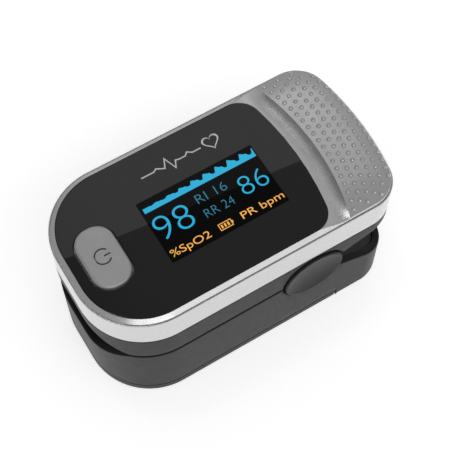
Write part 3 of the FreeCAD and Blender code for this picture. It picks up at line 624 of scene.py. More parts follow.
@dataclass(frozen=True)
class Lit(Finish):
    """Lit picture elements behind a dark face."""

    colour: Colour = (0.012, 0.35, 0.75)
    power: float = 1.0
    pitch: float = 0.22

    def mix(self, desk: Desk) -> None:
        """Wire the surface up on a desk."""
        desk.set(Base_Color=(0.003, 0.003, 0.003), Roughness=0.12)
        across = desk.wave(self.pitch, "X")
        up = desk.wave(self.pitch, "Y")
        grid = desk.add("ShaderNodeMath")
        grid.operation = "MINIMUM"
        desk.link(across, grid.inputs[0])
        desk.link(up, grid.inputs[1])
        dim = shade(self.colour, 0.82)
        cell = desk.ramp(grid.outputs[0], (0.0, dim), (0.35, self.colour))
        desk.feed("Emission Color", cell)
        desk.set(Emission_Strength=self.power)


@dataclass(frozen=True)
class Board(Finish):
    """Circuit board: solder mask over copper tracks."""

    colour: Colour = (0.015, 0.12, 0.05)

    def mix(self, desk: Desk) -> None:
        """Wire the surface up on a desk."""
        track = desk.add("ShaderNodeTexBrick")
        preset(
            track, Scale=0.42, Mortar_Size=0.05, Color1=(*self.colour, 1),
            Color2=(*shade(self.colour, 0.85), 1), Mortar=(*shade(self.colour, 1.9), 1),
        )
        desk.link(desk.place, track.inputs["Vector"])
        desk.feed("Base Color", track.outputs["Color"])
        desk.feed("Roughness", desk.spanned(desk.noise(1.0, 3.0), 0.28, 0.4))
        desk.feed("Normal", desk.bump(track.outputs["Fac"], 0.02))


@dataclass(frozen=True)
class Clear(Finish):
    """Clear or tinted resin that light passes through."""

    colour: Colour = (0.75, 0.5, 0.45)
    rough: float = 0.08
    passes: float = 0.75

    def mix(self, desk: Desk) -> None:
        """Wire the surface up on a desk."""
        cloud = desk.noise(1.2, 3.0)
        light = shade(self.colour, 1.1)
        desk.feed("Base Color", desk.ramp(cloud, (0.3, self.colour), (0.7, light)))
        desk.feed("Roughness", desk.spanned(desk.noise(0.5, 2.0), self.rough, self.rough + 0.06))
        desk.feed("Normal", desk.bump(desk.noise(2.0, 1.0), 0.004))
        desk.set(Transmission_Weight=self.passes, IOR=1.49)


@dataclass(frozen=True)
class Metal(Finish):
    """Drawn or plated metal with fine lines and faint tarnish."""

    colour: Colour = (0.7, 0.68, 0.62)
    rough: float = 0.24
    lines: Spot = (0.1, 1.0, 1.0)

    def mix(self, desk: Desk) -> None:
        """Wire the surface up on a desk."""
        tarnish = desk.noise(2.5, 5.0)
        dark = shade(self.colour, 0.8)
        desk.feed("Base Color", desk.ramp(tarnish, (0.3, dark), (0.6, self.colour)))
        drawn = desk.noise(0.08, 3.0, self.lines)
        desk.feed("Roughness", desk.spanned(drawn, self.rough, self.rough + 0.14))
        desk.feed("Normal", desk.bump(drawn, 0.002))
        desk.set(Metallic=1.0)


@dataclass(frozen=True)
class Sleeve(Finish):
    """Printed film round a dry cell: a dark body, a metallic band and fine seams."""

    body: Colour = (0.03, 0.045, 0.07)
    band: Colour = (0.55, 0.42, 0.2)

    def mix(self, desk: Desk) -> None:
        """Wire the surface up on a desk."""
        parts = desk.add("ShaderNodeSeparateXYZ")
        desk.link(desk.place, parts.inputs["Vector"])
        along = desk.add("ShaderNodeMapRange")
        low, high = node_box("battery_cell_left")
        preset(along, From_Min=low.x, From_Max=high.x)
        desk.link(parts.outputs["X"], along.inputs["Value"])
        steel = (0.62, 0.62, 0.6)
        stops = ((0.0, steel), (0.028, self.body), (0.66, self.body), (0.665, self.band))
        ramp = desk.ramp(along.outputs["Result"], *stops, (0.955, self.band), (0.972, steel))
        desk.tree.nodes[-1].color_ramp.interpolation = "CONSTANT"
        desk.feed("Base Color", ramp)
        desk.feed("Roughness", desk.spanned(desk.noise(1.5, 3.0), 0.22, 0.34))
        desk.feed("Normal", desk.bump(desk.noise(3.0, 2.0), 0.01))
        desk.set(Metallic=0.55, Coat_Weight=0.5)


class Shelf:
    """Every finish of the clip, made once."""

    def __init__(self) -> None:
        """Make the materials."""
        finishes: dict[str, Finish] = {
            "case": Moulded("case_plastic", (0.0165, 0.0166, 0.017), 0.4, 0.2, 0.003, 0.15),
            "silver": Silvered("silver_paint"),
            "face": Gloss("face_gloss"),
            "window": Gloss("display_glass", (0.001, 0.001, 0.0012), 0.008, 1.2),
            "button": Silvered("button_plastic", (0.47, 0.47, 0.47), 0.34, 0.6, 0.1),
            "symbol": Moulded("face_gloss", (0.03, 0.031, 0.033), 0.3, 0.1, 0.001),
            "print": Moulded("silver_paint", (0.8, 0.8, 0.8), 0.35, 0.1, 0.001),
            "liner": Moulded("liner_plastic", (0.014, 0.014, 0.015), 0.5, 0.3, 0.008),
            "pad": Moulded("pad_rubber", (0.028, 0.029, 0.031), 0.62, 0.16, 0.01, 0.35, 0.2),
            "clear": Clear("clear_window"),
            "board": Board("circuit_board"),
            "chip": Moulded("chip_black", (0.02, 0.02, 0.021), 0.55, 0.1, 0.01),
            "led": Clear("led_white", (0.85, 0.82, 0.7), 0.15, 0.3),
            "flex": Clear("flex_amber", (0.55, 0.22, 0.03), 0.25, 0.25),
            "sleeve": Sleeve("cell_sleeve"),
            "nickel": Metal("contact_nickel"),
            "steel": Metal("spring_steel", (0.42, 0.42, 0.43), 0.28),
            "blue": Lit("display_glass", (0.005, 0.43, 0.71)),
            "small_blue": Lit("display_glass", (0.015, 0.2, 0.32)),
            "orange": Lit("display_glass", (1.0, 0.47, 0.08)),
        }
        self.slots = {name: finish.slot for name, finish in finishes.items()}
        self.made = {name: finish.build() for name, finish in finishes.items()}


# Mesh work


def settle(obj: Piece) -> None:
    """Turn an object's modifiers into plain mesh."""
    bpy.context.view_layer.update()
    graph = bpy.context.evaluated_depsgraph_get()
    mesh = bpy.data.meshes.new_from_object(
        obj.evaluated_get(graph), preserve_all_data_layers=True, depsgraph=graph
    )
    obj.modifiers.clear()
    obj.data = mesh


def soften(obj: Piece, ease: float, segments: int, angle: float) -> None:
    """Bevel sharp edges, weigh the normals and turn both into plain mesh.

    Args:
        obj: the piece.
        ease: width of the bevel in millimetres, or 0 for none.
        segments: segments of the bevel.
        angle: angle from which an edge is bevelled, in degrees.
    """
    if ease:
        bevel = obj.modifiers.new("ease", "BEVEL")
        bevel.width = ease * MM
        bevel.segments = segments
        bevel.limit_method = "ANGLE"
        bevel.angle_limit = math.radians(angle)
    weigh = obj.modifiers.new("weigh", "WEIGHTED_NORMAL")
    weigh.keep_sharp = True
    settle(obj)


class Blank:
    """Mesh in the making, in millimetres, that becomes one piece of the model."""

    def __init__(self, name: str) -> None:
        """Start an empty mesh under the piece's name."""
        self.name = name
        self.mesh = bmesh.new()

    def loft(self, rings: Sequence[Sequence[Spot]], loop: bool = False) -> "Blank":
        """Skin closed rings of equal length.

        Args:
            rings: rings of points.
            loop: the last ring meets the first; otherwise both ends are capped.

        Returns:
            The blank itself.
        """
        rows = [[self.mesh.verts.new(point) for point in ring] for ring in rings]
        count = len(rows[0])
        pairs = list(zip(rows, rows[1:])) + ([(rows[-1], rows[0])] if loop else [])
        for lower, upper in pairs:
            for place in range(count):
                after = (place + 1) % count
                self.mesh.faces.new((lower[place], lower[after], upper[after], upper[place]))
        if not loop:
            self.mesh.faces.new(list(reversed(rows[0])))
            self.mesh.faces.new(rows[-1])
        return self

    def slab(self, loops: Sequence[Sequence[Flat]], low: float, high: float) -> "Blank":
        """Plate between two heights, from an outer loop and any holes.

        Args:
            loops: the outer loop, then the holes.
            low: lowest height.
            high: highest height.

        Returns:
            The blank itself.
        """
        flats = [[Vector((x, y, 0.0)) for x, y in loop] for loop in loops]
        triangles = tessellate_polygon(flats)
        points = [point for loop in flats for point in loop]
        for height, flip in ((low, True), (high, False)):
            made = [self.mesh.verts.new((p.x, p.y, height)) for p in points]
            for triangle in triangles:
                corners = [made[index] for index in triangle]
                self.mesh.faces.new(list(reversed(corners)) if flip else corners)
            if flip:
                bottom = made
            else:
                top = made
        start = 0
        for loop in flats:
            for place in range(len(loop)):
                a, b = start + place, start + (place + 1) % len(loop)
                self.mesh.faces.new((bottom[a], bottom[b], top[b], top[a]))
            start += len(loop)
        return self

    def grid(self, rows: Sequence[Sequence[Vert]]) -> None:
        """Add faces between rows of points.

        Args:
            rows: rows of equal length.
        """
        for before, after in zip(rows, rows[1:]):
            for place in range(len(before) - 1):
                corners = (before[place], before[place + 1], after[place + 1], after[place])
                self.mesh.faces.new(corners)

    def side_slab(self, loop: Sequence[Flat], start: float, end: float) -> "Blank":
        """Plate between two places across the clip, from a loop of (x, z)."""
        rings = [[(x, y, z) for x, z in loop] for y in (start, end)]
        return self.loft(rings)

    def end_slab(self, loop: Sequence[Flat], start: float, end: float) -> "Blank":
        """Plate between two places along the clip, from a loop of (y, z)."""
        rings = [[(x, y, z) for y, z in loop] for x in (start, end)]
        return self.loft(rings)

    def box(self, low: Spot, high: Spot) -> "Blank":
        """Block between two corners."""
        (x0, y0, z0), (x1, y1, z1) = low, high
        return self.slab([[(x0, y0), (x1, y0), (x1, y1), (x0, y1)]], z0, z1)

    def turned(self, profile: Sequence[Flat], at: Spot, axis: Spot, steps: int = 48) -> "Blank":
        """Solid of revolution.

        Args:
            profile: (radius, distance along the axis), with the axis at both ends.
            at: point on the axis where distances start.
            axis: direction of the axis.
            steps: segments once round.

        Returns:
            The blank itself.
        """
        turn = Vector(axis).to_track_quat("Z", "Y").to_matrix()
        origin = Vector(at)
        rows: list[list[Vert]] = []
        for radius, along in profile:
            count = steps if radius > 1e-6 else 1
            ring = []
            for place in range(count):
                angle = 2 * math.pi * place / steps
                local = Vector((radius * math.cos(angle), radius * math.sin(angle), along))
                ring.append(self.mesh.verts.new(origin + turn @ local))
            rows.append(ring)
        for lower, upper in zip(rows, rows[1:]):
            for place in range(steps):
                after = (place + 1) % steps
                corners = [lower[place % len(lower)], lower[after % len(lower)]]
                corners += [upper[after % len(upper)], upper[place % len(upper)]]
                self.mesh.faces.new(list(dict.fromkeys(corners)))
        return self

    def thicken(self, move: Callable[[Vector], Vector]) -> "Blank":
        """Close an open sheet with a copy of it that move shifts.

        Args:
            move: gives the new place of a point.

        Returns:
            The blank itself.
        """
        sheet = list(self.mesh.faces)
        made = bmesh.ops.extrude_face_region(self.mesh, geom=sheet, use_keep_orig=True)
        for item in made["geom"]:
            if isinstance(item, Vert):
                item.co = move(item.co)
        return self

    def solid(self) -> Piece:
        """Turn the mesh into an object in metres, with its faces outward."""
        bmesh.ops.remove_doubles(self.mesh, verts=self.mesh.verts, dist=1e-4)
        bmesh.ops.recalc_face_normals(self.mesh, faces=self.mesh.faces)
        bmesh.ops.scale(self.mesh, vec=(MM, MM, MM), verts=self.mesh.verts)
        data = bpy.data.meshes.new(self.name)
        self.mesh.to_mesh(data)
        self.mesh.free()
        return stand(self.name, data)

    def piece(
        self, body: Body, finish: str, shelf: Shelf, stands_for: Sequence[str] = (), ease: float = 0.0,
        crease: float = 34.0,
    ) -> Piece:
        """Make the object.

        Args:
            body: CAD body that it rides on.
            finish: name of its finish.
            shelf: the finishes.
            stands_for: CAD nodes that it replaces.
            ease: width of the bevel on sharp edges, in millimetres.
            crease: angle from which an edge stays sharp, in degrees.

        Returns:
            The finished piece.
        """
        obj = self.solid()
        obj.data.shade_smooth()
        obj.data.set_sharp_from_angle(angle=math.radians(crease))
        soften(obj, ease, 3, crease)
        return dress(obj, body, finish, shelf, stands_for)


def dress(obj: Piece, body: Body, finish: str, shelf: Shelf, stands_for: Sequence[str] = ()) -> Piece:
    """Give a piece its finish and its body.

    Args:
        obj: the piece.
        body: CAD body that it rides on.
        finish: name of its finish.
        shelf: the finishes.
        stands_for: CAD nodes that it replaces.

    Returns:
        The piece.
    """
    obj.data.materials.clear()
    obj.data.materials.append(shelf.made[finish])
    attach(obj, body.value)
    if stands_for:
        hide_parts(*stands_for)
    LOG.info("%s: %d faces", obj.name, len(obj.data.polygons))
    return obj


@dataclass(frozen=True)
class Wall:
    """Upright case wall along the outline between two free edges.

    low and high give the height of each edge at a point of the plan.
    """

    outline: Outline
    low: Callable[[float, float], float]
    high: Callable[[float, float], float]
    thick: float
    low_ease: Callable[[float, float], float]
    high_ease: float
    inner_ease: float = 0.12
    rows: int = 5

    def edge(self, stops: Sequence[float], height: Callable[[float, float], float]) -> list[Flat]:
        """Edge as (distance along, height) at every stop."""
        return [(stop, height(*self.outline.at(stop))) for stop in stops]

    def inward(self, edge: Sequence[Flat], place: int, sign: int) -> Flat:
        """Direction from the edge into the wall, in the plane of the unrolled wall.

        Args:
            edge: the edge.
            place: index of the stop.
            sign: 1 where the wall lies above the edge, and -1 where it lies below.

        Returns:
            The direction, along and up.
        """
        count, total = len(edge), self.outline.length
        before, after = edge[place - 1], edge[(place + 1) % count]
        run = (after[0] - before[0]) % total
        rise = after[1] - before[1]
        length = math.hypot(run, rise) or 1.0
        return -sign * rise / length, sign * run / length

    def build(self, blank: Blank, stops: Sequence[float]) -> None:
        """Add the wall to a blank.

        Args:
            blank: the mesh to add to.
            stops: distances along the outline where the wall has a section.
        """
        low, high = self.edge(stops, self.low), self.edge(stops, self.high)
        sections: list[list[Spot]] = []
        for place, stop in enumerate(stops):
            up = self.inward(low, place, 1)
            down = self.inward(high, place, -1)
            r_low = self.low_ease(*self.outline.at(stop))
            parts: list[tuple[float, float, float]] = []

            def rounded(edge: Flat, lean: Flat, radius: float, outer: bool, rising: bool) -> None:
                """Add one rounded edge to the section."""
                for turn in QUARTER if rising else reversed(QUARTER):
                    inset = radius * (1 - math.cos(turn))
                    off = radius * (1 - math.sin(turn))
                    inset = inset if outer else self.thick - inset
                    parts.append((edge[0] + lean[0] * off, inset, edge[1] + lean[1] * off))

            rounded(low[place], up, r_low, True, True)
            bottom = parts[-1]
            top_z = high[place][1] + down[1] * self.high_ease
            for share in spread(0.0, 1.0, self.rows)[1:-1]:
                parts.append((stop, 0.0, bottom[2] + (top_z - bottom[2]) * share))
            rounded(high[place], down, self.high_ease, True, False)
            rounded(high[place], down, self.inner_ease, False, True)
            rounded(low[place], up, self.inner_ease, False, False)
            sections.append([(*self.outline.at(s, inset), z) for s, inset, z in parts])
        blank.loft(sections, loop=True)


def wall_stops(plan: Plan, outline: Outline, extra: Iterable[float] = ()) -> list[float]:
    """Distances along the case outline that follow its corners and the hinge seats.

    Args:
        plan: shared sizes.
        outline: the case outline.
        extra: X places on the straight sides that need a section of their own.

    Returns:
        Sorted distances.
    """
    stops = outline.stops(1.0, math.radians(4))
    lengths = [leg.length for leg in outline.legs]
    front, back = sum(lengths[:2]), sum(lengths[:6])
    front_x, back_x = outline.legs[2].start[0], outline.legs[6].start[0]
    axis_x = plan.hinge[0]
    places = [axis_x + (plan.seat + 1e-3) * math.cos(a) for a in spread(0.0, math.pi, 60)]
    places += [axis_x + plan.seat * share for share in (-1.01, 1.01)]
    places += list(extra)
    for x in places:
        for stop in (front + x - front_x, back + back_x - x):
            stops.append(stop)
    tidy: list[float] = []
    for stop in sorted(stops):
        if not tidy or stop - tidy[-1] > 0.012:
            tidy.append(stop)
    return tidy


def rounded_solid(
    blank: Blank, outline: Outline, low: float, high: float, low_ease: float, high_ease: float
) -> None:
    """Solid of an outline with round upper and lower edges.

    Args:
        blank: the mesh to add to.
        outline: plan of the solid.
        low: lowest height.
        high: highest height.
        low_ease: radius of the lower edge.
        high_ease: radius of the upper edge.
    """
    stops = outline.stops(1.5, math.radians(7))
    rings = [outline.ring(stops, low_ease + 0.05, low)]
    for a in QUARTER:
        inset, rise = low_ease * (1 - math.cos(a)), low_ease * (1 - math.sin(a))
        rings.append(outline.ring(stops, inset, low + rise))
    for a in reversed(QUARTER):
        inset, fall = high_ease * (1 - math.cos(a)), high_ease * (1 - math.sin(a))
        rings.append(outline.ring(stops, inset, high - fall))
    rings.append(outline.ring(stops, high_ease + 0.05, high))
    blank.loft(rings)


# Sub-assemblies


@dataclass
class Assembly(ABC):
    """Group of pieces that are made and dressed together."""

    shelf: Shelf
    plan: Plan

    @abstractmethod
    def build(self) -> None:
        """Make every piece."""

    def carry(self, finish: str, *nodes: str) -> None:
        """Give CAD nodes that stay a finish.

        Args:
            finish: name of the finish.
            nodes: the nodes.
        """
        for node in nodes:
            obj = frame["nodes"][node]
            obj.data.materials.clear()
            obj.data.materials.append(self.shelf.made[finish])
            LOG.info("%s: carried over in %s", node, finish)


@dataclass
class LowerHalf(Assembly):
    """Lower case, its liner and pad, and the fixed parts of the hinge."""

    door_end: float = 16.9
    door_step: float = 2.35
    ear: Flat = (13.4, 14.95)
    ear_radius: float = 6.2
    ledge: tuple[float, float, float] = (11.9, 14.9, 0.9)
    rail: Flat = (11.9, 13.2)
    rail_spans: tuple[Flat, Flat] = ((-11.0, -2.0), (5.0, 16.6))
    boss_x: Flat = (-15.0, 1.5)
    boss_y: float = 13.0
    bay_end: float = 22.4
    tail_floor: float = 1.2

    def build(self) -> None:
        """Make every piece."""
        self.case()
        FingerPad(self.shelf, self.plan, Body.LOWER, -1, 1.55, "lower_finger_pad").build()
        self.carry("liner", "lower_inner_cover")
        self.carry("chip", "photodiode")
        self.carry("board", "sensor_board")
        self.carry("steel", "hinge_pin_back", "hinge_pin_front")

    def case(self) -> None:
        """Lower shell: wall, tail floor, door rails, hinge ears and screw bosses."""
        plan, blank = self.plan, Blank("lower_shell")
        outline = plan.outline()

        def low(x: float, y: float) -> float:
            """Lower edge: above the door, and down to the floor behind it."""
            return self.door_step if x < self.door_end else 0.0

        def ease(x: float, y: float) -> float:
            """Rounding of the lower edge."""
            return 0.12 if x < self.door_end + 0.3 else plan.base_round

        extra = [self.door_end - 0.02, self.door_end + 0.02, self.door_end + 0.29, self.door_end + 0.33]
        stops = wall_stops(plan, outline, extra)
        top = lambda x, y: plan.edge(x, y, -1)
        Wall(outline, low, top, plan.wall, ease, 0.3).build(blank, stops)
        self.floor(blank, outline)
        axis_x, axis_z = plan.hinge
        for side in Side:
            start, end = (side.value * place for place in self.ear)
            blank.turned(
                self.disc(self.ear_radius, self.ear[1] - self.ear[0]),
                (axis_x, start, axis_z),
                (0, side.value, 0),
            )
            web = ((axis_x - 5.5, 6.2), (axis_x + 5.5, 6.2), (axis_x + 5.5, 15.8), (axis_x - 5.5, 15.8))
            blank.side_slab(web, start, end)
            self.rails(blank, side.value)
        blank.piece(Body.LOWER, "case", self.shelf, ["lower_case"])

    @staticmethod
    def disc(radius: float, thick: float, ease: float = 0.2) -> list[Flat]:
        """Profile of a disc with eased edges, from its back to its face.

        Args:
            radius: radius of the disc.
            thick: its thickness.
            ease: width of the eased edges.

        Returns:
            Radius and distance along the axis of each point.
        """
        return [
            (0.0, 0.0), (radius - ease, 0.0), (radius - ease * 0.3, ease * 0.3), (radius, ease),
            (radius, thick - ease), (radius - ease * 0.3, thick - ease * 0.3), (radius - ease, thick),
            (0.0, thick),
        ]

    def floor(self, blank: Blank, outline: Outline) -> None:
        """Fixed floor behind the battery door, and the wall at the end of the battery bay.

        Args:
            blank: the mesh to add to.
            outline: the case outline.
        """
        edge = [outline.at(stop, self.plan.wall - 0.02) for stop in outline.stops(1.0)]
        tail = [point for point in edge if point[0] > self.door_end + 0.4]
        start = sorted(tail, key=lambda point: math.atan2(point[1], point[0] - self.door_end))
        half = self.plan.half - self.plan.wall + 0.02
        loop = [(self.door_end, -half), *start, (self.door_end, half)]
        blank.slab([loop], 0.0, self.tail_floor)
        blank.box((self.bay_end, -half + 0.4, 1.1), (self.bay_end + 1.0, half - 0.4, 9.6))

    def rails(self, blank: Blank, sign: int) -> None:
        """Ledge, door rails and screw bosses along one side.

        Args:
            blank: the mesh to add to.
            sign: 1 for +Y and -1 for -Y.
        """
        near, far, thick = self.ledge
        low, high = sorted((sign * near, sign * far))
        step, foot = self.door_step, self.rail
        blank.box((-20.0, low, step), (self.door_end, high, step + thick))
        rib = (12.2, 12.9)
        section = [(foot[0], 1.0), (foot[1], 1.0), (foot[1], 1.45), (rib[1], 1.45)]
        section += [(rib[1], 2.5), (rib[0], 2.5), (rib[0], 1.45), (foot[0], 1.45)]
        for start, end in self.rail_spans:
            blank.end_slab([(sign * y, z) for y, z in section], start, end)
        for x in self.boss_x:
            boss = [(0.95, step), (1.85, step), (2.1, step + 0.2), (2.1, step + 3.4)]
            boss += [(1.9, step + 3.6), (0.95, step + 3.6), (0.95, step)]
            blank.turned(boss, (x, sign * self.boss_y, 0.0), (0, 0, 1), 24)


@dataclass
class FingerPad(Assembly):
    """Moulded rubber trough on one side of the finger, with low ribs and a rolled lip."""

    body: Body
    sign: int
    trim: float
    node: str
    half: float = 12.4
    rise: float = 3.6
    land: float = 0.4
    thick: float = 1.1
    end: float = 4.0
    window: float = 2.5
    window_x: float = -9.0
    lip: float = 1.3
    rib_pitch: float = 1.7
    rib_height: float = 0.16

    def front(self, y: float) -> float:
        """X of the pad's front edge at a place across it.

        Args:
            y: place across the clip.

        Returns:
            The place along the clip.
        """
        plan = self.plan
        corner = plan.nose_corner
        centre_x, centre_y = corner - plan.nose, plan.half - corner
        reach = corner - self.trim
        over = max(abs(y) - centre_y, 0.0)
        return centre_x - math.sqrt(max(reach**2 - over**2, 0.0))

    def relief(self, x: float, y: float, front: float) -> float:
        """How far the rubber stands toward the finger: ribs, window frame and rolled lip.

        Args:
            x: place along the clip.
            y: place across the clip.
            front: X of the pad's front edge there.

        Returns:
            The height over the plain trough.
        """
        off_x, off_y = abs(x - self.window_x), abs(y)
        frame_off = max(off_x, off_y) - self.window
        framing = 0.28 * smooth(1.0 - abs(frame_off - 0.45) / 0.6)
        calm = smooth((frame_off - 1.2) / 1.0) * smooth((self.half - 1.6 - abs(y)) / 1.5)
        calm *= smooth((x - front - self.lip - 0.4) / 1.2) * smooth((self.end - 1.0 - x) / 1.2)
        rib = math.cos(2 * math.pi * (x - self.window_x) / self.rib_pitch)
        roll = min(max(1.0 - (x - front) / self.lip, 0.0), 1.0)
        fall = self.thick * 0.8 * (1.0 - math.sqrt(max(1.0 - roll**2, 0.0)))
        return framing + calm * self.rib_height * max(rib, 0.0) ** 1.5 - fall

    def build(self) -> None:
        """Make the pad."""
        centre_z = self.plan.hinge[1]
        radius = (self.half**2 + self.rise**2) / (2 * self.rise)
        middle = centre_z + self.sign * (self.rise - radius)
        flat = centre_z + self.sign * self.land
        reach = math.asin(math.sqrt(radius**2 - (flat - middle) ** 2) / radius)
        hole = math.asin(self.window / radius)
        turns = spread(-reach, -hole, 22) + spread(-hole, hole, 10)[1:] + spread(hole, reach, 22)[1:]
        left, right = self.window_x - self.window, self.window_x + self.window
        blank = Blank(self.node + "_rubber")
        near = [0.0, 0.02, 0.06, 0.12, 0.2, 0.3, 0.45, 0.6, 0.8, 1.0, 1.3, 1.7, 2.1]
        rows: list[list[Vert]] = []
        places: list[list[float]] = []
        for turn in turns:
            front = self.front(radius * math.sin(turn))
            start = front + near[-1]
            column = [front + gap for gap in near]
            first = spread(start, left, 62)[1:]
            column += first + spread(left, right, 30)[1:] + spread(right, self.end, 64)[1:]
            places.append(column)
        for turn, column in zip(turns, places):
            y = radius * math.sin(turn)
            row = []
            for x in column:
                out = radius - self.relief(x, y, column[0])
                height = middle + self.sign * out * math.cos(turn)
                row.append(blank.mesh.verts.new((x, out * math.sin(turn), height)))
            rows.append(row)
        for lower, upper, turn, after in zip(rows, rows[1:], turns, turns[1:]):
            inside = abs(turn + after) / 2 < hole
            for place in range(len(lower) - 1):
                x = (lower[place].co.x + lower[place + 1].co.x) / 2
                if inside and left < x < right:
                    continue
                corners = (lower[place], lower[place + 1], upper[place + 1], upper[place])
                blank.mesh.faces.new(corners)

        def outward(point: Vector) -> Vector:
            """Move a point of the face to the back of the rubber."""
            off = Vector((0.0, point.y, point.z - middle))
            off.length = radius + self.thick
            return Vector((point.x, off.y, middle + off.z))

        blank.thicken(outward)
        blank.piece(self.body, "pad", self.shelf, [self.node], crease=50)
        self.lens()

    def lens(self) -> None:
        """Light window with a crowned face."""
        node = "sensor_window" if self.sign < 0 else "emitter_window"
        low, high = node_box(node)
        outline = Outline.block((low.x + 0.02, low.y + 0.02), (high.x - 0.02, high.y - 0.02), 0.5)
        stops = outline.stops(0.6, math.radians(12))
        face, back = (high.z, low.z) if self.sign < 0 else (low.z, high.z)
        rings = [outline.ring(stops, 0.0, back)]
        rings.append(outline.ring(stops, 0.0, face + self.sign * 0.3))
        for inset, fall in ((0.03, 0.2), (0.1, 0.12), (0.25, 0.08), (0.4, 0.07)):
            rings.append(outline.ring(stops, inset, face + self.sign * fall))
        middle = ((low.x + high.x) / 2, (low.y + high.y) / 2)
        for share, fall in ((0.75, 0.05), (0.5, 0.025), (0.25, 0.006), (0.05, 0.0)):
            ring = []
            for x, y, _ in rings[5]:
                x = middle[0] + (x - middle[0]) * share
                ring.append((x, middle[1] + (y - middle[1]) * share, face + self.sign * fall))
            rings.append(ring)
        Blank(node + "_lens").loft(rings).piece(self.body, "clear", self.shelf, [node])


@dataclass
class BatteryBay(Assembly):
    """Sliding door, the two cells and their contacts."""

    door_end: float = 16.75
    rim: float = 2.2
    groove_pitch: float = 1.2
    groove_count: int = 5
    well: tuple[Spot, Spot] = ((-26.2, -11.2, 1.2), (40.0, 11.2, 9.0))
    rail_grooves: tuple[tuple[float, float, float, float], ...] = (
        (11.75, 13.35, 0.85, 1.6), (12.05, 13.05, 1.5, 9.0),
    )

    def build(self) -> None:
        """Make every piece."""
        self.door()
        for name, sign in (("left", 1), ("right", -1)):
            self.cell(name, sign)
        lower = LowerHalf
        places = tuple((x, side.value * lower.boss_y) for x in lower.boss_x for side in Side)
        Screws(self.shelf, self.plan, Body.LOWER, "lower_screws", 1.5, 1.2, places).build()
        self.carry("nickel", "contact_bridge", "contact_positive", "contact_negative")
        self.carry("nickel", "battery_spring_left", "battery_spring_right")

    def door(self) -> None:
        """Door with a round lower edge, thumb grooves, rail grooves and a snap tongue."""
        plan = self.plan
        nose, half, corner = plan.nose, plan.half, plan.nose_corner
        end, small, q = self.door_end, 0.3, math.pi / 2
        x, y = corner - nose, half - corner
        outline = Outline(
            (
                Leg((-nose, 0.0), (-nose, -y)),
                Leg(centre=(x, -y), radius=corner, turn=(2 * q, 3 * q)),
                Leg((x, -half), (end - small, -half)),
                Leg(centre=(end - small, small - half), radius=small, turn=(-q, 0.0)),
                Leg((end, small - half), (end, half - small)),
                Leg(centre=(end - small, half - small), radius=small, turn=(0.0, q)),
                Leg((end - small, half), (x, half)),
                Leg(centre=(x, y), radius=corner, turn=(q, 2 * q)),
                Leg((-nose, y), (-nose, 0.0)),
            )
        )
        blank = Blank("battery_door_shell")
        stops = outline.stops(1.5, math.radians(5))

        def ring(inset: float, height: float) -> list[Spot]:
            """Ring of the door, whose rear edge keeps a small rounding.

            Args:
                inset: how far inside the outline.
                height: height of the ring.

            Returns:
                The points.
            """
            points = []
            for stop in stops:
                px, py = outline.at(stop, min(inset, small))
                if inset > small and px < end - small:
                    rest = inset - small
                    side = math.hypot(px - x, abs(py) - y) if px < x and abs(py) > y else 0.0
                    if side:
                        px -= (px - x) / side * rest
                        py -= math.copysign((abs(py) - y) / side * rest, py)
                    elif px <= x:
                        px += rest
                    else:
                        py -= math.copysign(rest, py)
                elif inset > small:
                    py = math.copysign(min(abs(py), half - inset), py)
                points.append((px, py, height))
            return points

        base = plan.base_round
        rings = [ring(base * (1 - math.cos(a)), base * (1 - math.sin(a))) for a in QUARTER]
        rings.append(ring(0.0, self.rim - 0.12))
        rings.append(ring(0.04, self.rim - 0.04))
        rings.append(ring(0.12, self.rim))
        blank.loft(rings)
        obj = blank.piece(Body.DOOR, "case", self.shelf, ["battery_door"])
        tools = [Blank("cutter").box(*self.well).solid()]
        for sign in (1, -1):
            for inner, outer, low, high in self.rail_grooves:
                near, far = sorted((sign * inner, sign * outer))
                tools.append(Blank("cutter").box((-13.0, near, low), (40.0, far, high)).solid())
        for number in range(self.groove_count):
            start = self.door_end - 8.5 + number * self.groove_pitch
            tools.append(Blank("cutter").box((start, -4.5, -1.0), (start + 0.6, 4.5, 0.35)).solid())
        for tool in tools:
            cut = obj.modifiers.new("cut", "BOOLEAN")
            cut.operation = "DIFFERENCE"
            cut.solver = "EXACT"
            cut.object = tool
            settle(obj)
            bpy.data.objects.remove(tool)
        obj.data.shade_smooth()
        obj.data.set_sharp_from_angle(angle=math.radians(30))
        soften(obj, 0.06, 2, 50)
        tongue = Blank("door_tongue").box((14.0, -1.8, 0.5), (end + 1.6, 1.8, 1.9))
        tongue.piece(Body.DOOR, "case", self.shelf, ["battery_door"], ease=0.15)

    def cell(self, name: str, sign: int) -> None:
        """Dry cell with a crimped can, a sleeve edge, a nub and a flat end.

        Args:
            name: left or right.
            sign: 1 where the nub points to the tail, and -1 where it points to the nose.
        """
        low, high = node_box("battery_cell_" + name)
        length, radius = high.x - low.x, (high.z - low.z) / 2
        middle = ((low.y + high.y) / 2, (low.z + high.z) / 2)
        profile = [
            (0.0, 0.05), (radius * 0.62, 0.05), (radius * 0.66, 0.0), (radius * 0.86, 0.0),
            (radius * 0.9, 0.12), (radius * 0.985, 0.3), (radius * 0.985, 1.2), (radius, 1.25),
            (radius, length - 2.0), (radius * 0.985, length - 1.95), (radius * 0.985, length - 1.3),
            (radius * 0.93, length - 1.05), (radius * 0.8, length - 1.0),
            (radius * 0.76, length - 1.12), (radius * 0.42, length - 1.15),
            (radius * 0.36, length - 1.05), (1.9, length - 0.18), (1.75, length), (0.0, length),
        ]
        start = low.x if sign > 0 else high.x
        blank = Blank("dry_cell_" + name)
        blank.turned(profile, (start, *middle), (sign, 0, 0), 64)
        blank.piece(Body.LOWER, "sleeve", self.shelf, ["battery_cell_" + name], crease=40)


